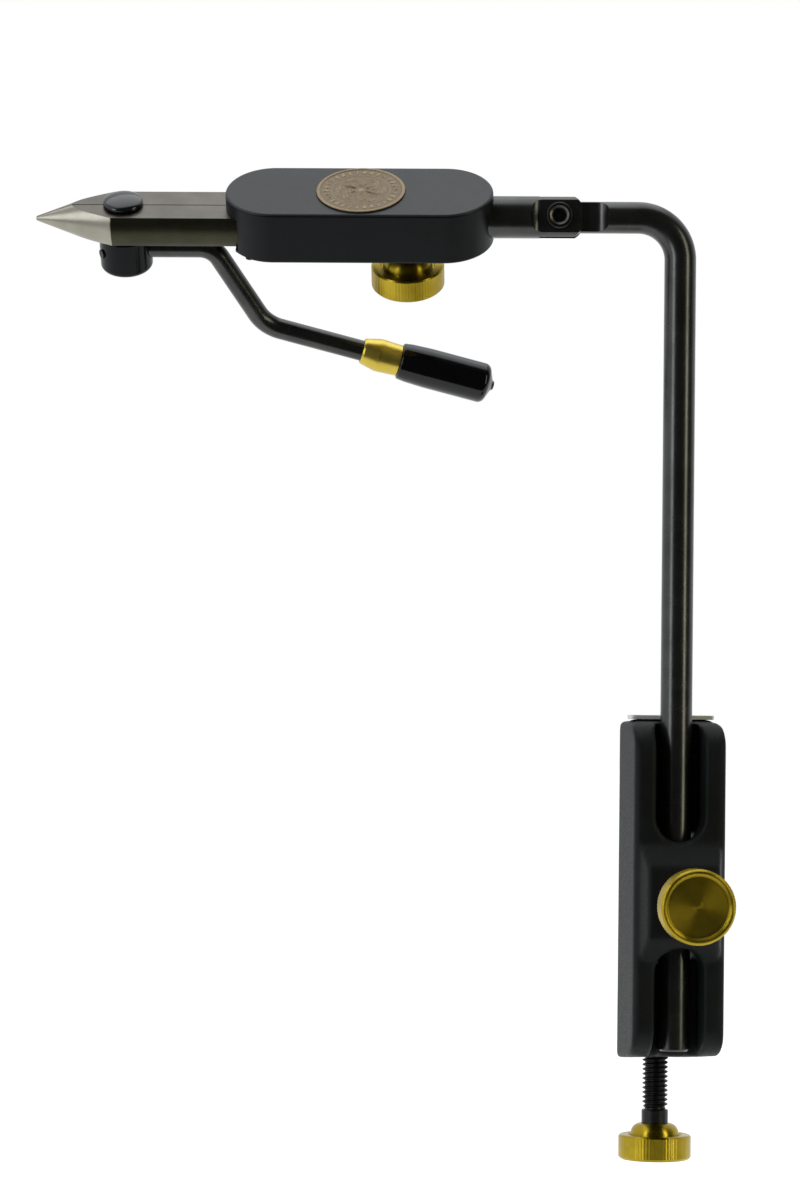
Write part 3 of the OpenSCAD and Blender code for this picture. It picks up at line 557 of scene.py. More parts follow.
def make_stem():
    path = [(0, -STEM_L), (0, 0), (-PIN_REACH - TONGUE_END_R - PAST, 0)]
    blank = bent_bar(path, BEND_R, STEM_R, STEM_CHAMFER)
    far = -PIN_REACH - 2 * WASTE
    cuts = [milled(far, -PIN_REACH + TONGUE_L, TONGUE_T / 2, side) for side in (-1, 1)]
    cuts.append(end_waste(-PIN_REACH, TONGUE_END_R))
    add_piece("stem", carve(blank, *cuts), ARM, [OXIDE], edge=0.2)


# The shank with its fork
SHANK_R = 6.35
SHANK_REACH = 53.4
EAR_REACH = 6.7
EAR_ROUND_R = 7.57
FORK_T = 8.0
FLAT_L = 4.7
FORK_SLOT_L = 6.1
SLOT_W = 3.8
GROOVE_X = 46.1
GROOVE_W = 6.95
GROOVE_DEPTH = 0.5


def make_shank():
    left, right = GROOVE_X - GROOVE_W / 2, GROOVE_X + GROOVE_W / 2
    floor = SHANK_R - GROOVE_DEPTH
    outline = [(0, -EAR_REACH), (SHANK_R, -EAR_REACH), (SHANK_R, left), (floor, left)]
    outline += [(floor, right), (SHANK_R, right), (SHANK_R, SHANK_REACH), (0, SHANK_REACH)]
    cuts = [milled(-2 * WASTE, FLAT_L, FORK_T / 2, side) for side in (-1, 1)]
    cuts.append(end_waste(0, EAR_ROUND_R))
    cuts.append(prism(box_outline(-WASTE, -SLOT_W / 2, FORK_SLOT_L, SLOT_W / 2), -WASTE, WASTE))
    mesh = carve(lathe(outline, 128, move=Z_TO_X), *cuts)
    add_piece("head_shank", mesh, FORK, [OXIDE], edge=0.25)


# The knuckle's cap screw. Its hex socket has a sloping lead, painted in a lighter metal than the head
# as a painted highlight.
PIN_R = 2.4
PIN_EDGE = 0.15
PIN_HEAD_R = 3.9
PIN_HEAD_H = 3.0
PIN_HEAD_TAPER = 0.1
PIN_HEAD_ROUND = 0.5
HEX_R = 2.15
HEX_DEPTH = 1.8
LEAD_W = 0.75
LEAD_DEPTH = 0.45
LEAD_GAP = 0.1
LEAD_REACH = 0.8
LEAD_SLOPES = (0.3, 0.9)


# Picks the sloping faces of the socket's lead, which are painted lighter: a painted highlight.
def in_painted_highlight_lead(middle, way):
    low, high = LEAD_SLOPES
    return low < way.z < high and Vector(middle[:2]).length < HEX_R + LEAD_REACH


def make_knuckle_screw():
    low, high = FORK_T / 2, FORK_T / 2 + PIN_HEAD_H
    bottom = high - LEAD_DEPTH
    side = [(0, -low), (PIN_R, -low), (PIN_R, low, 0), (PIN_HEAD_R - PIN_HEAD_TAPER, low)]
    side += [(PIN_HEAD_R, high, PIN_HEAD_ROUND), (HEX_R + LEAD_W, high)]
    side += [(HEX_R + LEAD_GAP, bottom, 0.1), (0, bottom)]
    hexagon = arc(0, 0, HEX_R, 0, 300, 5)
    mesh = carve(lathe(rounded(side, PIN_EDGE)), prism(hexagon, high - HEX_DEPTH, high + PAST))
    paint(mesh, in_painted_highlight_lead)
    mesh.transform(Z_TO_Y)
    # The lead takes the lighter gunmetal: painted highlight.
    add_piece("knuckle_screw", mesh, FORK, [THREAD, GUNMETAL], edge=0.06, sharp=40)


# The housing. Its channel and its cover's seat run out at the end toward the jaws.
HOUSING_X0 = 19.9
HOUSING_X1 = 100.5
HOUSING_R = 14.7
HOUSING_TOP = 8.75
HOUSING_BOTTOM = -7.95
HOUSING_EDGE = 0.9
EDGE_STEPS = 6
FLAT_X = 97.4
FLAT_HALF_W = 20
CHANNEL_TOP = 4.0
CHANNEL_X = 55.85
CHANNEL_W = 20.0
CHANNEL_CORNER_R = 1.2
COVER_X = 53.6
COVER_W = 25.6
COVER_T = 1.5
COVER_CORNER_R = 2
COVER_DROP = 0.01
RUN_OUT = 5
MEDAL_X = 59.7
MEDAL_R = 13.35
MEDAL_SEAT = 1.0
MEDAL_GAP = 0.12
THUMB_R = 3.175
BORE_GAP = 0.05
SHANK_END_GAP = 0.3
TOP_SLOPE = 0.6


def housing_profile():
    """How far in from the plan the wall stands, and at what height, up the housing."""
    turns = [QUARTER * k / EDGE_STEPS for k in range(EDGE_STEPS + 1)]
    curve = [(HOUSING_EDGE * (1 - math.cos(a)), HOUSING_EDGE * (1 - math.sin(a))) for a in turns]
    bottom = [(inset, HOUSING_BOTTOM + drop) for inset, drop in reversed(curve)]
    return bottom + [(inset, HOUSING_TOP - drop) for inset, drop in curve]


def housing_blank(move=WORLD):
    rings = []
    for inset, z in housing_profile():
        plan = slot_outline(HOUSING_X0 + inset, HOUSING_X1 - inset, HOUSING_R - inset)
        rings.append([(x, y, z) for x, y in plan])
    return loft(rings, move)


def make_housing():
    low, far = HOUSING_BOTTOM - PAST, HOUSING_X1 + PAST
    channel = (CHANNEL_X, -CHANNEL_W / 2, far + RUN_OUT, CHANNEL_W / 2, CHANNEL_CORNER_R)
    seat = (COVER_X, -COVER_W / 2, far + RUN_OUT, COVER_W / 2, COVER_CORNER_R)
    medal_floor = HOUSING_TOP - MEDAL_SEAT
    cuts = [
        prism(box_outline(FLAT_X, -FLAT_HALF_W, far, FLAT_HALF_W), low, CHANNEL_TOP),
        prism(box_outline(*channel), low, CHANNEL_TOP),
        prism(box_outline(*seat), low, HOUSING_BOTTOM + COVER_T),
        cylinder(SHANK_R + BORE_GAP, 0, SHANK_REACH + SHANK_END_GAP, 96, Z_TO_X),
        cylinder(THUMB_R, low, 0, move=at(GROOVE_X, 0, 0)),
        cylinder(MEDAL_R + MEDAL_GAP, medal_floor, HOUSING_TOP + PAST, 128, at(MEDAL_X, 0, 0)),
    ]
    mesh = carve(housing_blank(), *cuts)
    # Faces that don't face up take the darker copy of the anodising: painted shade.
    paint(mesh, lambda middle, way: way.z < TOP_SLOPE)
    add_piece("head_housing", mesh, HEAD, [ANODISED, ANODISED_PAINTED_SHADE])


def make_cover():
    """The CAD model's cover, cut to the housing's outline, which is lowered so that no faces meet."""
    outline = housing_blank(at(0, 0, -COVER_DROP))
    mesh = carve(cad_mesh("bottom_cover", HEAD), outline, way="INTERSECT")
    # The cover faces down and takes the darker copy of the anodising: painted shade.
    add_piece("bottom_cover", mesh, HEAD, [ANODISED_PAINTED_SHADE])


# The medallion: a raised rim, a band of wedges, a thin ring and a rosette
MEDAL_T = 1.6
MEDAL_RELIEF = 0.28
MEDAL_FIELD = 0.3
MEDAL_RINGS = 84
MEDAL_SPOKES = 288
BRONZE_STOPS = [
    (0.05, (0.07, 0.052, 0.03)),
    (0.4, (0.15, 0.112, 0.066)),
    (0.75, (0.215, 0.163, 0.095)),
    (1.0, (0.205, 0.155, 0.083)),
]


def soft_step(x, start, end):
    t = max(0.0, min(1.0, (x - start) / (end - start)))
    return t * t * (3 - 2 * t)


def plateau(x, start, top, edge, end):
    return soft_step(x, start, top) * (1 - soft_step(x, edge, end))


def medal_height(u, a):
    """Height from 0 to 1 at the radius u, from 0 to 1, and the angle a. Edges are given as radii."""
    rim = soft_step(u, 0.915, 0.935) * (1 - 0.55 * soft_step(u, 0.975, 1.0))
    wedges = soft_step(math.cos(30 * a + 6 * u) + 0.5 * math.cos(7 * a), 0.1, 0.5)
    band = plateau(u, 0.7, 0.73, 0.85, 0.88) * wedges
    ring = plateau(u, 0.635, 0.65, 0.665, 0.68)
    petals = soft_step(math.cos(6 * a + 4 * math.sin(6 * u)), -0.7, 0.1)
    veins = 0.65 + 0.35 * math.cos(75 * u + 6 * math.sin(6 * a))
    rosette = plateau(u, 0.1, 0.16, 0.56, 0.61) * petals * veins
    heart = 1 - soft_step(u, 0.06, 0.1)
    return max(rim, MEDAL_FIELD, 0.8 * band, 0.6 * ring, 0.85 * rosette, 0.7 * heart)


def make_medallion():
    face = HOUSING_TOP - MEDAL_SEAT + MEDAL_T
    floor = face - MEDAL_RELIEF
    points = [(0, 0, floor + MEDAL_RELIEF * medal_height(0, 0))]
    turns = [FULL * k / MEDAL_SPOKES for k in range(MEDAL_SPOKES)]
    for u in [i / MEDAL_RINGS for i in range(1, MEDAL_RINGS + 1)]:
        for a in turns:
            z = floor + MEDAL_RELIEF * medal_height(u, a)
            points.append((u * MEDAL_R * math.cos(a), u * MEDAL_R * math.sin(a), z))
    points += [(MEDAL_R * math.cos(a), MEDAL_R * math.sin(a), face - MEDAL_T) for a in turns]
    faces = [(0, 1 + k, 1 + (k + 1) % MEDAL_SPOKES) for k in range(MEDAL_SPOKES)]
    for i in range(MEDAL_RINGS):
        start = 1 + i * MEDAL_SPOKES
        for k in range(MEDAL_SPOKES):
            a, b = start + k, start + (k + 1) % MEDAL_SPOKES
            faces.append((a, a + MEDAL_SPOKES, b + MEDAL_SPOKES, b))
    last = 1 + MEDAL_RINGS * MEDAL_SPOKES
    faces.append(tuple(range(last, last + MEDAL_SPOKES)))
    mesh = mesh_from(points, faces, at(MEDAL_X, 0, 0))
    bronze = relief_material("bronze", floor, face, BRONZE_STOPS, (0.38, 0.5))
    add_piece("medallion", mesh, HEAD, [bronze])


# The jaws: a round bar with two flats and a cone, slit in two
BAR_R = 9.4
JAW_HALF_T = 4.8
JAW_DROP = 1.1
JAW_TAIL_X = 56.5
CONE_X = 134.8
CONE_EDGE = 0.25
CONE_ROWS = 60
TIP_X = 158.3
TIP_R = 0.65
ARC_STEPS = 16
HALF_SLIT = 0.15
FLAT_NORMAL = 0.97
SLIT_NORMAL = 0.05
TAIL_STEP = 1.0
TAIL_END_X = 81.7
PIVOT_X = 85.7
PIVOT_Y = 4.8
PIVOT_HOLE_R = 2.05
WINDOW_X0 = 127.15
WINDOW_X1 = 136.25
WINDOW_Y = 3.3
SPRING_X = 62.0
SPRING_HOLE_R = 2.7
SPRING_HOLE_L = 4.2


def jaw_ring(x):
    """The outline of one jaw's section at x."""
    r = BAR_R if x <= CONE_X else BAR_R + (TIP_R - BAR_R) * (x - CONE_X) / (TIP_X - CONE_X)
    half = min(math.asin(min(1, JAW_HALF_T / r)), math.acos(HALF_SLIT / r))
    shares = [k / ARC_STEPS - 1 for k in range(2 * ARC_STEPS + 1)]
    curve = [(x, r * math.cos(half * t), r * math.sin(half * t)) for t in shares]
    z = r * math.sin(half)
    return [(x, HALF_SLIT, -z)] + curve + [(x, HALF_SLIT, z)]


def jaw_finish(middle, way):
    """0 for the flats and the slit's walls, 1 for the round side and 2 for the cone's."""
    on_round = abs(way.z) < FLAT_NORMAL and way.y > SLIT_NORMAL
    if not on_round:
        return 0
    return 2 if middle.x > CONE_X else 1


def make_jaw(node, side):
    places = [JAW_TAIL_X, CONE_X - CONE_EDGE, CONE_X]
    places += [CONE_X + (TIP_X - CONE_X) * k / CONE_ROWS for k in range(1, CONE_ROWS + 1)]
    blank = loft([jaw_ring(x) for x in places])
    cuts = [
        prism(box_outline(JAW_TAIL_X - PAST, -PAST, TAIL_END_X, TAIL_STEP), -WASTE, WASTE),
        prism(box_outline(WINDOW_X0, -PAST, WINDOW_X1, WINDOW_Y), -WASTE, WASTE),
        cylinder(PIVOT_HOLE_R, -WASTE, WASTE, 48, at(PIVOT_X, PIVOT_Y, 0)),
        cylinder(SPRING_HOLE_R, -PAST, SPRING_HOLE_L, 48, at(SPRING_X, 0, 0) @ Z_TO_Y),
    ]
    mesh = carve(blank, *cuts)
    paint(mesh, jaw_finish)
    mesh.transform(at(0, 0, -JAW_DROP) @ Matrix.Diagonal((1, side, 1, 1)))
    if side < 0:
        mesh.flip_normals()
    add_piece(node, mesh, HEAD, [GUNMETAL, GUNMETAL_SIDE, BARE], edge=0.12, sharp=25)


# The button, the drum and the lever, whose rod has two bends. Its run ends at the first.
BUTTON_R = 6.05
BUTTON_Z = 4.0
BUTTON_H = 2.4
BUTTON_RIM = 0.8
BUTTON_CHAMFER = 0.3
BUTTON_HOLE = 1.0
STUB_R = 2.22
DRUM_R = 7.95
DRUM_TOP = -6.2
DRUM_H = 11.6
DRUM_ROUND = 1.8
DRUM_EDGE = 0.45
DRUM_HOLE = 1.3
ROD_R = 3.175
ROD_Z = -10.9
ROD_IN_DRUM = 3.2
ROD_BORE_L = 12
ROD_CHAMFER = 0.3
ROD_RUN = 26.5
ROD_BEND_R = 7.0
ROD_BEND_2_R = 12.0
LEG_L = 31.2
LEG_SLOPE = math.radians(61.5)
GRIP_SLOPE = math.radians(17.1)
REACH_L = 73.2
GRIP_L = 30.3
GRIP_R = 6.2
GRIP_WALL_END = 5.0
CORNER_2 = Vector((-ROD_RUN - LEG_L * math.cos(LEG_SLOPE), 0, ROD_Z - LEG_L * math.sin(LEG_SLOPE)))
GRIP_WAY = Vector((-math.cos(GRIP_SLOPE), 0, -math.sin(GRIP_SLOPE)))
GRIP = CAM @ frame_at(CORNER_2 * MM, (0, 1, 0), GRIP_WAY)
ROD_END = CORNER_2 + GRIP_WAY * (REACH_L - GRIP_WALL_END)
ROD_TILT = Matrix.Rotation(math.atan2(ROD_END.z - ROD_Z, -ROD_END.x), 4, "Y")


def make_button():
    rim = BUTTON_Z + BUTTON_RIM
    dome = [(BUTTON_R * x, rim + (BUTTON_H - BUTTON_RIM) * z) for x, z in arc(0, 0, 1, 0, 90, 20)]
    side = [(0, BUTTON_Z + BUTTON_HOLE), (STUB_R, BUTTON_Z + BUTTON_HOLE), (STUB_R, BUTTON_Z)]
    side += [(BUTTON_R - BUTTON_CHAMFER, BUTTON_Z), (BUTTON_R, BUTTON_Z + BUTTON_CHAMFER)] + dome
    add_piece("cam_button", lathe(side, 128), CAM, [ENAMEL])


def make_drum():
    low = DRUM_TOP - DRUM_H
    side = [(0, low), (DRUM_R, low, DRUM_ROUND), (DRUM_R, DRUM_TOP, DRUM_EDGE), (STUB_R, DRUM_TOP)]
    side += [(STUB_R, DRUM_TOP - DRUM_HOLE), (0, DRUM_TOP - DRUM_HOLE)]
    blank = lathe(rounded(side, 0, 8), 128)
    bore_place = at(ROD_IN_DRUM + BORE_GAP, 0, ROD_Z) @ Z_TO_MINUS_X
    bore = cylinder(ROD_R + BORE_GAP, 0, ROD_BORE_L, move=bore_place)
    add_piece("cam_drum", carve(blank, bore), CAM, [GLOSS], edge=0.15, sharp=40)


def make_rod():
    corners = [(ROD_IN_DRUM, ROD_Z), (-ROD_RUN, ROD_Z), (CORNER_2.x, CORNER_2.z, ROD_BEND_2_R)]
    corners.append((ROD_END.x, ROD_END.z))
    mesh = bent_bar(corners, ROD_BEND_R, ROD_R, ROD_CHAMFER, move=ROD_TILT.inverted())
    add_piece("lever_rod", mesh, CAM @ ROD_TILT, [OXIDE])


# The ferrule: a lip, a cone out to the full radius, and a slight taper
FERRULE_L = 12.0
FERRULE_R = 5.1
FERRULE_GAP = 0.02
FERRULE_EDGE = 0.25
FERRULE_LIP_H = 0.6
FERRULE_CONE_L = 0.42 * FERRULE_L
FERRULE_TAPER_Z = 0.5 * FERRULE_L
FERRULE_WALL = FERRULE_R - ROD_R
FERRULE_LIP_R = ROD_R + 0.3 * FERRULE_WALL
FERRULE_NOSE_R = ROD_R + 0.45 * FERRULE_WALL
FERRULE_TAIL_R = ROD_R + 0.85 * FERRULE_WALL


def make_ferrule():
    low = REACH_L - GRIP_L - FERRULE_L
    high = low + FERRULE_L
    inner = ROD_R + FERRULE_GAP
    side = [(inner, low), (FERRULE_LIP_R, low), (FERRULE_NOSE_R, low + FERRULE_LIP_H)]
    side += [(FERRULE_R, low + FERRULE_CONE_L), (FERRULE_R, low + FERRULE_TAPER_Z)]
    side += [(FERRULE_TAIL_R, high), (inner, high)]
    mesh = lathe(rounded(side, FERRULE_EDGE, closed=True), closed=True)
    add_piece("lever_ferrule", mesh, GRIP, [POLISHED])


# The dipped grip, a little narrower at its mouth, with a nub at its end
GRIP_MOUTH_R = 0.9 * GRIP_R
GRIP_MOUTH_ROUND = 0.8
SWELL_R = 0.96 * GRIP_R
SWELL_H = 3
SWELL_ROUND = 3
GRIP_BODY_Z = 0.3 * GRIP_L
GRIP_BODY_ROUND = 6
GRIP_END_H = 2.6
GRIP_END_ROUND = 2.2
NUB_BASE_R = 1.7
NUB_R = 1.2
NUB_H = 0.7


def make_grip():
    z = REACH_L - GRIP_L
    side = [(0, z), (GRIP_MOUTH_R, z, GRIP_MOUTH_ROUND), (SWELL_R, z + SWELL_H, SWELL_ROUND)]
    side += [(GRIP_R, z + GRIP_BODY_Z, GRIP_BODY_ROUND)]
    side += [(GRIP_R, REACH_L - GRIP_END_H, GRIP_END_ROUND)]
    side += [(NUB_BASE_R, REACH_L - NUB_H, 0.6), (NUB_R, REACH_L, 0.5), (0, REACH_L)]
    add_piece("lever_grip", lathe(rounded(side, 0, 8)), GRIP, [DIPPED])


# Brass knobs, with the dished face at z = 0 and the dome below. A moat runs round the dome's foot.
KNOB_R = 11.1
KNOB_T = 7.45
KNOB_HOLE = 2.5
DOME_R = 7.45
DOME_H = 3.45
NECK_R = 4.5
DISH_R = 9.25
DISH_DEPTH = 1.0
DISH_DRAFT = 0.2
DISH_EDGE_DEPTH = 0.9
DISH_WALL_H = 0.35
CENTRE_R = 0.35
CENTRE_DEPTH = 0.5
FACE_ROUND = 0.6
FACE_CHAMFER = (0.7, 0.75)
BACK_CHAMFER = (0.45, 0.5)
MOAT_OUTER = 0.9
MOAT_INNER = 0.5
MOAT_DEPTH = 0.55
DOME_FOOT = 0.4
KNURLS = 72
KNURL_DEPTH = 0.1
UNEVEN = 0.25
UNEVEN_WAVES = 23


def knurl(r, z, a):
    """The relief of the rim: small grooves, some deeper than others, alike at each height z."""
    if r < KNOB_R - NEAR:
        return 0.0
    uneven = 1 - UNEVEN + UNEVEN * math.cos(UNEVEN_WAVES * a)
    return -KNURL_DEPTH * (0.5 + 0.5 * math.cos(KNURLS * a)) * uneven


def make_knob(node, face, local, bore):
    """A knob whose face is at the height face of local, for a screw of radius bore."""
    front, back = FACE_CHAMFER, BACK_CHAMFER
    side = [(0, -DISH_DEPTH - CENTRE_DEPTH), (CENTRE_R, -DISH_DEPTH)]
    side += [(DISH_R - DISH_DRAFT, -DISH_EDGE_DEPTH, 0.3), (DISH_R, -DISH_WALL_H, 0.2)]
    side += [(DISH_R + FACE_ROUND, 0, FACE_ROUND), (KNOB_R - front[0], 0, FACE_ROUND)]
    side += [(KNOB_R, -front[1]), (KNOB_R, back[1] - KNOB_T), (KNOB_R - back[0], -KNOB_T, 0.25)]
    side += [(DOME_R + MOAT_OUTER, -KNOB_T, 0.2), (DOME_R + MOAT_INNER, -KNOB_T + MOAT_DEPTH, 0.2)]
    side += [(DOME_R, -KNOB_T + DOME_FOOT, 0.2)]
    dome = arc(0, 0, 1, 8, 90, 10)
    side += [(NECK_R + (DOME_R - NECK_R) * x, -KNOB_T - DOME_H * z) for x, z in dome]
    side += [(bore, -KNOB_T - DOME_H), (bore, -KNOB_HOLE), (0, -KNOB_HOLE)]
    outline = [(r, z + face) for r, z in rounded(side, 0)]
    return add_piece(node, lathe(outline, KNURLS * 4, knurl), local, [BRASS])


# Threads: the radius rises and falls once per pitch, and both ends run out
CLAMP_PITCH = 1.411
LOCK_PITCH = 1.27
ROWS_PER_PITCH = 8
THREAD_DEPTH = 0.6
THREAD_FLANK = (0.12, 0.85)


def thread(outer, pitch, low, high):
    """The relief of a thread between two heights. Its depth is a share of the pitch."""
    depth = THREAD_DEPTH * pitch

    def relief(r, z, a):
        if r < outer - NEAR or not low < z < high:
            return 0.0
        t = (z / pitch - a / FULL) % 1.0
        cut = soft_step(abs(2 * t - 1), *THREAD_FLANK)
        ends = min(1.0, (z - low) / pitch, (high - z) / pitch)
        return -depth * (1 - ends + ends * cut) if ends < 1 else -depth * cut

    return relief


def thread_rows(outer, pitch, low, high):
    count = int((high - low) / pitch * ROWS_PER_PITCH)
    return [(outer, low + (high - low) * k / count) for k in range(count + 1)]


# The clamp's screw, which points down from the ball in the pad
CLAMP_SCREW_R = 3.92
COLLAR_R = 4.07
COLLAR_TOP = 106.8
COLLAR_L = 4.2
COLLAR_CHAMFER = (0.2, 0.25)
CLAMP_KNOB_FACE = 121.9
SCREW_NECK_Z = 24.6
BALL_Z = 17.75
BALL_R = 3.1
BALL_TURNS = (80, -41)
BALL_NECK_R = 2.325


def make_clamp_screw():
    low, high = SCREW_NECK_Z, COLLAR_TOP
    collar_end, end = high + COLLAR_L, CLAMP_KNOB_FACE - KNOB_HOLE
    side = [(0, BALL_Z - BALL_R)]
    side += [(r, BALL_Z - z) for r, z in arc(0, 0, BALL_R, *BALL_TURNS, 14)]
    side += [(BALL_NECK_R, low)] + thread_rows(CLAMP_SCREW_R, CLAMP_PITCH, low, high)
    side += [(COLLAR_R - COLLAR_CHAMFER[0], high), (COLLAR_R, high + COLLAR_CHAMFER[1])]
    side += [(COLLAR_R, collar_end), (BALL_NECK_R, collar_end), (BALL_NECK_R, end), (0, end)]
    mesh = lathe(side, 48, thread(CLAMP_SCREW_R, CLAMP_PITCH, low, high))
    add_piece("clamp_screw", mesh, CLAMP_SCREW, [THREAD])


# The two thumb screws
LOCK_SCREW_R = 3.12
STEM_KNOB_FACE = 29.3
HEAD_KNOB_FACE = 13.8
STEM_SCREW_LOW = 0.16
HEAD_SCREW_LOW = 0.25


def make_lock_screw(node, local, low, face):
    """A thumb screw from the height low of local to just below its knob's face."""
    high = face - KNOB_HOLE
    rows = thread_rows(LOCK_SCREW_R, LOCK_PITCH, low, high)
    relief = thread(LOCK_SCREW_R, LOCK_PITCH, low - NEAR, high + NEAR)
    add_piece(node, lathe([(0, low)] + rows + [(0, high)], 48, relief), local, [THREAD])


# The clamp: the CAD model's casting with its edges worn soft, then bored again
CAST_VOXEL = 0.55
CAST_SMOOTHING = 24
STEM_BORE_R = 4.82
STEM_BORE_Z = (-95, 15)
SCREW_BORE_R = 3.98
SCREW_BORE_Z = (-95, -60)
BOSS_BORE_Y = -48
BOSS_BORE_L = 20
BOSS_Z = -41.5


def make_clamp():
    blank = show(cad_mesh("clamp_body", WORLD))
    grid = blank.modifiers.new("grid", "REMESH")
    grid.mode = "VOXEL"
    grid.voxel_size = CAST_VOXEL * MM
    smooth = blank.modifiers.new("cast", "SMOOTH")
    smooth.factor = 0.5
    smooth.iterations = CAST_SMOOTHING
    cuts = [
        cylinder(STEM_BORE_R, *STEM_BORE_Z, move=at(0, STEM_Y, 0)),
        cylinder(SCREW_BORE_R, *SCREW_BORE_Z),
        cylinder(THUMB_R, 0, BOSS_BORE_L, move=at(0, BOSS_BORE_Y, BOSS_Z) @ Z_TO_Y),
    ]
    add_piece("clamp_body", carve(applied(blank), *cuts), WORLD, [POWDER_COAT])


make_stem()
make_shank()
make_knuckle_screw()
make_housing()
make_cover()
make_medallion()
make_jaw("jaw_near", 1)
make_jaw("jaw_far", -1)
make_button()
make_drum()
make_rod()
make_ferrule()
make_grip()
make_knob("clamp_screw_knob", CLAMP_KNOB_FACE, CLAMP_SCREW, BALL_NECK_R)
make_knob("stem_lock_knob", STEM_KNOB_FACE, STEM_LOCK, LOCK_SCREW_R)
make_knob("head_lock_knob", HEAD_KNOB_FACE, HEAD_LOCK, LOCK_SCREW_R)
make_clamp_screw()
make_lock_screw("stem_lock_screw", STEM_LOCK, STEM_SCREW_LOW, STEM_KNOB_FACE)
make_lock_screw("head_lock_screw", HEAD_LOCK, HEAD_SCREW_LOW, HEAD_KNOB_FACE)
make_clamp()

# The rest keeps the CAD model's shape: frame, material, slot and the rounding of its edges in mm
DRESSED = {
    "top_plate": (WORLD, PLATED, "steel", 0.2),
    "pressure_pad": (WORLD, BRIGHT, "steel", 0.25),
    "stem_lock_shoe": (STEM_LOCK, BRASS, "brass", 0.1),
    "cover_screws": (HEAD, THREAD, "oxide", 0.08),
    "jaw_pivot_pins": (HEAD, BRIGHT, "steel", 0.15),
    "head_lock_shoe": (HEAD_LOCK, BRASS, "brass", 0.1),
    "cam_shaft": (CAM, BRIGHT, "steel", 0),
    "lever_set_screw": (CAM, GLOSS, "steel", 0.08),
}
for node, (local, mat, slot, edge) in DRESSED.items():
    dress(node, local, mat, edge)

# The spring, with a mesh of its own. The jaws' tails close on it while the lever turns.
spring = dress("jaw_spring", HEAD, BRIGHT, 0)
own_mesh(spring)

# Camera, from where the photograph was taken. It looks at a point given from the stem's top.
# From here on lengths are in metres.
LOOK_POINT = Vector((-0.08319, 0, -0.11537))
DISTANCE = 1.2
CAMERA_YAW = math.radians(-2.754)
CAMERA_PITCH = math.radians(1.311)
CAMERA_ROLL = math.radians(0.605)
IMAGE_LONG = 1199
FOCAL_PIXELS = 3991
SENSOR = 36.0


def make_camera():
    """Sets the camera and gives the way to it from the object."""
    camera = bpy.data.objects.new("camera", bpy.data.cameras.new("camera"))
    bpy.context.scene.collection.objects.link(camera)
    camera.data.sensor_width = SENSOR
    camera.data.lens = FOCAL_PIXELS * SENSOR / IMAGE_LONG
    camera.data.clip_start = 0.01
    camera.data.clip_end = 20
    turn = (
        Matrix.Rotation(-CAMERA_YAW, 4, "Z")
        @ Matrix.Rotation(QUARTER + CAMERA_PITCH, 4, "X")
        @ Matrix.Rotation(CAMERA_ROLL, 4, "Z")
    )
    back = turn.to_3x3() @ Vector((0, 0, DISTANCE))
    camera.matrix_world = ARM @ Matrix.Translation(LOOK_POINT + back) @ turn
    bpy.context.scene.camera = camera
    return (ARM.to_3x3() @ back).normalized()


# Background
WHITE_LEVEL = 0.85
SKY_TINT = (0.95, 0.97, 1.0, 1.0)
ROOM_LEVEL = 0.04
ROOM_TURN = math.radians(26)
ROOM_EDGES = (-0.05, 0.5)


def either(tree, first, second):
    node = tree.nodes.new("ShaderNodeMath")
    node.operation = "MAXIMUM"
    tree.links.new(first, node.inputs[0])
    tree.links.new(second, node.inputs[1])
    return node.outputs[0]


def make_world(to_camera):
    """White to the camera. Light and reflections also find a dim room on the photographer's side."""
    room_way = Matrix.Rotation(ROOM_TURN, 3, "Z") @ to_camera
    world = bpy.data.worlds.new("studio")
    bpy.context.scene.world = world
    world.use_nodes = True
    tree = world.node_tree
    lit = tree.nodes["Background"]
    coords = tree.nodes.new("ShaderNodeTexCoord")
    facing = tree.nodes.new("ShaderNodeVectorMath")
    facing.operation = "DOT_PRODUCT"
    tree.links.new(coords.outputs["Generated"], facing.inputs[0])
    facing.inputs[1].default_value = room_way
    level = tree.nodes.new("ShaderNodeMapRange")
    level.interpolation_type = "SMOOTHSTEP"
    level.inputs["From Min"].default_value = ROOM_EDGES[0]
    level.inputs["From Max"].default_value = ROOM_EDGES[1]
    level.inputs["To Max"].default_value = ROOM_LEVEL
    path = tree.nodes.new("ShaderNodeLightPath")
    brighter = tree.nodes.new("ShaderNodeMath")
    brighter.operation = "MULTIPLY_ADD"
    tree.links.new(path.outputs["Is Glossy Ray"], brighter.inputs[0])
    brighter.inputs[1].default_value = 1 - WHITE_LEVEL
    brighter.inputs[2].default_value = WHITE_LEVEL
    tree.links.new(brighter.outputs[0], level.inputs["To Min"])
    tree.links.new(facing.outputs["Value"], level.inputs["Value"])
    tree.links.new(level.outputs["Result"], lit.inputs["Strength"])
    lit.inputs["Color"].default_value = SKY_TINT
    white = tree.nodes.new("ShaderNodeBackground")
    white.inputs["Strength"].default_value = 1.0
    white.inputs["Color"].default_value = (1, 1, 1, 1)
    seen = either(tree, path.outputs["Is Camera Ray"], path.outputs["Is Transmission Ray"])
    mix = tree.nodes.new("ShaderNodeMixShader")
    tree.links.new(seen, mix.inputs["Fac"])
    tree.links.new(lit.outputs[0], mix.inputs[1])
    tree.links.new(white.outputs[0], mix.inputs[2])
    tree.links.new(mix.outputs[0], tree.nodes["World Output"].inputs["Surface"])


# Floor, below the lowest place that the clamp's knob reaches
KNOB_DROP = -JOINTS["pad_slide"]["range_m"][0]
FLOOR_GAP = 0.0015
FLOOR_Z = cad_box[0].z - KNOB_DROP - FLOOR_GAP
FLOOR_SIZE = 9.0
FLOOR_FRONT = 0.2
FLOOR_TINT = (0.82, 0.82, 0.82, 1)
FLOOR_GLOW = 0.6


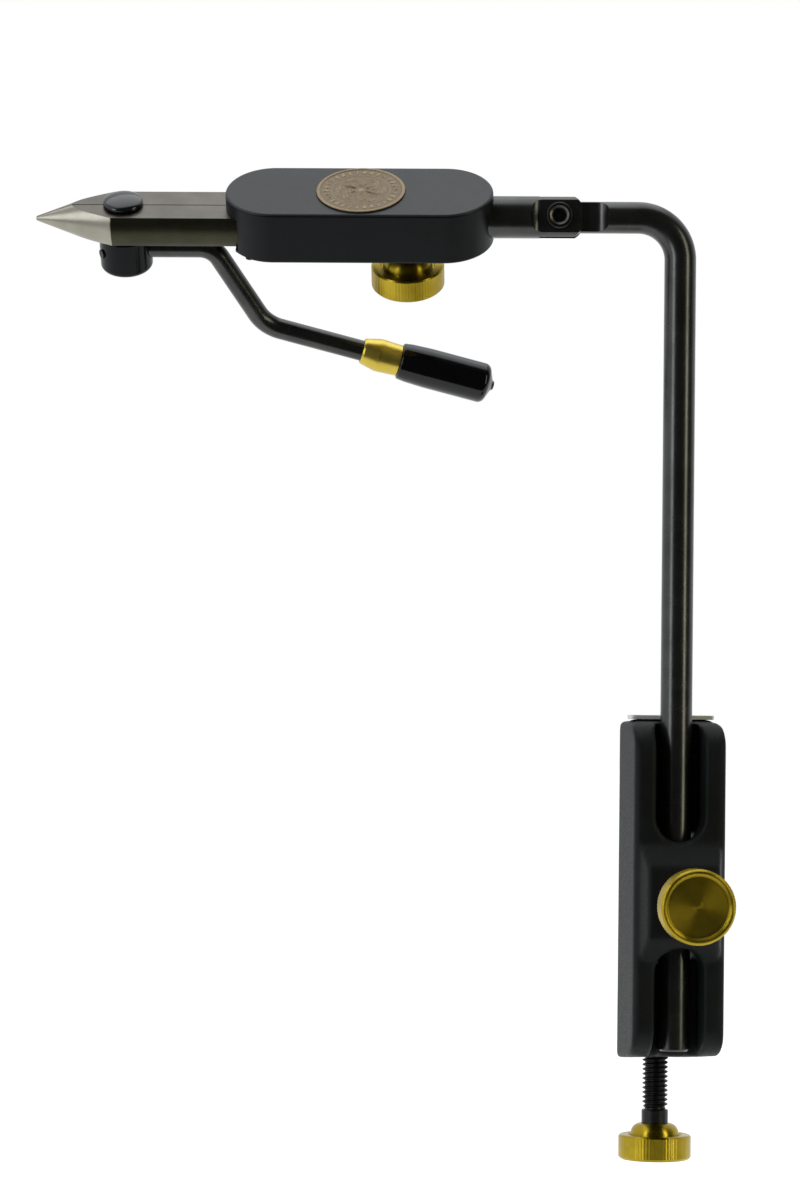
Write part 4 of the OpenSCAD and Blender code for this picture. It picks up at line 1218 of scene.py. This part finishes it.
def make_floor():
    """A pale floor. It glows a little for all but diffuse rays, so that it meets the white."""
    side, front, back = FLOOR_SIZE / 2, -FLOOR_FRONT, FLOOR_SIZE
    corners = [(-side, front, 0), (side, front, 0), (side, back, 0), (-side, back, 0)]
    mesh = bpy.data.meshes.new("floor")
    mesh.from_pydata(corners, [], [(0, 1, 2, 3)])
    floor = show(mesh, "floor")
    floor.location = (0, 0, FLOOR_Z)
    mat, nodes, links = new_material("pale_floor")
    shader = nodes["Principled BSDF"]
    shader.inputs["Base Color"].default_value = FLOOR_TINT
    shader.inputs["Roughness"].default_value = 0.9
    shader.inputs["Specular IOR Level"].default_value = 0.0
    shader.inputs["Emission Color"].default_value = (1, 1, 1, 1)
    path = nodes.new("ShaderNodeLightPath")
    seen = either(mat.node_tree, path.outputs["Is Camera Ray"], path.outputs["Is Transmission Ray"])
    seen = either(mat.node_tree, seen, path.outputs["Is Glossy Ray"])
    glow = nodes.new("ShaderNodeMath")
    glow.operation = "MULTIPLY"
    glow.inputs[1].default_value = FLOOR_GLOW
    links.new(seen, glow.inputs[0])
    links.new(glow.outputs[0], shader.inputs["Emission Strength"])
    mesh.materials.append(mat)


# Lamps: place, size, power in watts and colour. All point at LAMP_TARGET.
LAMP_TARGET = Vector((-0.06, -0.03, 0.06))
LAMPS = {
    "softbox_top": ((-0.1, 0.1, 1.1), (1.2, 0.9), 4.5, (0.96, 0.98, 1.0)),
    "softbox_left": ((-1.1, -0.75, 0.35), (0.35, 1.0), 4.5, (0.93, 0.95, 1.0)),
    "softbox_right": ((0.8, -0.8, 0.3), (0.26, 1.0), 4, (1.0, 0.96, 0.74)),
}


def add_lamp(name, where, size, power, colour):
    light = bpy.data.lights.new(name, "AREA")
    light.energy = power
    light.color = colour
    light.shape = "RECTANGLE"
    light.size, light.size_y = size
    lamp = bpy.data.objects.new(name, light)
    bpy.context.scene.collection.objects.link(lamp)
    lamp.location = where
    lamp.rotation_mode = "QUATERNION"
    lamp.rotation_quaternion = (LAMP_TARGET - Vector(where)).to_track_quat("-Z", "Y")
    lamp.visible_camera = False


bpy.context.scene.view_settings.view_transform = "Standard"
make_world(make_camera())
make_floor()
for name, lamp in LAMPS.items():
    add_lamp(name, *lamp)
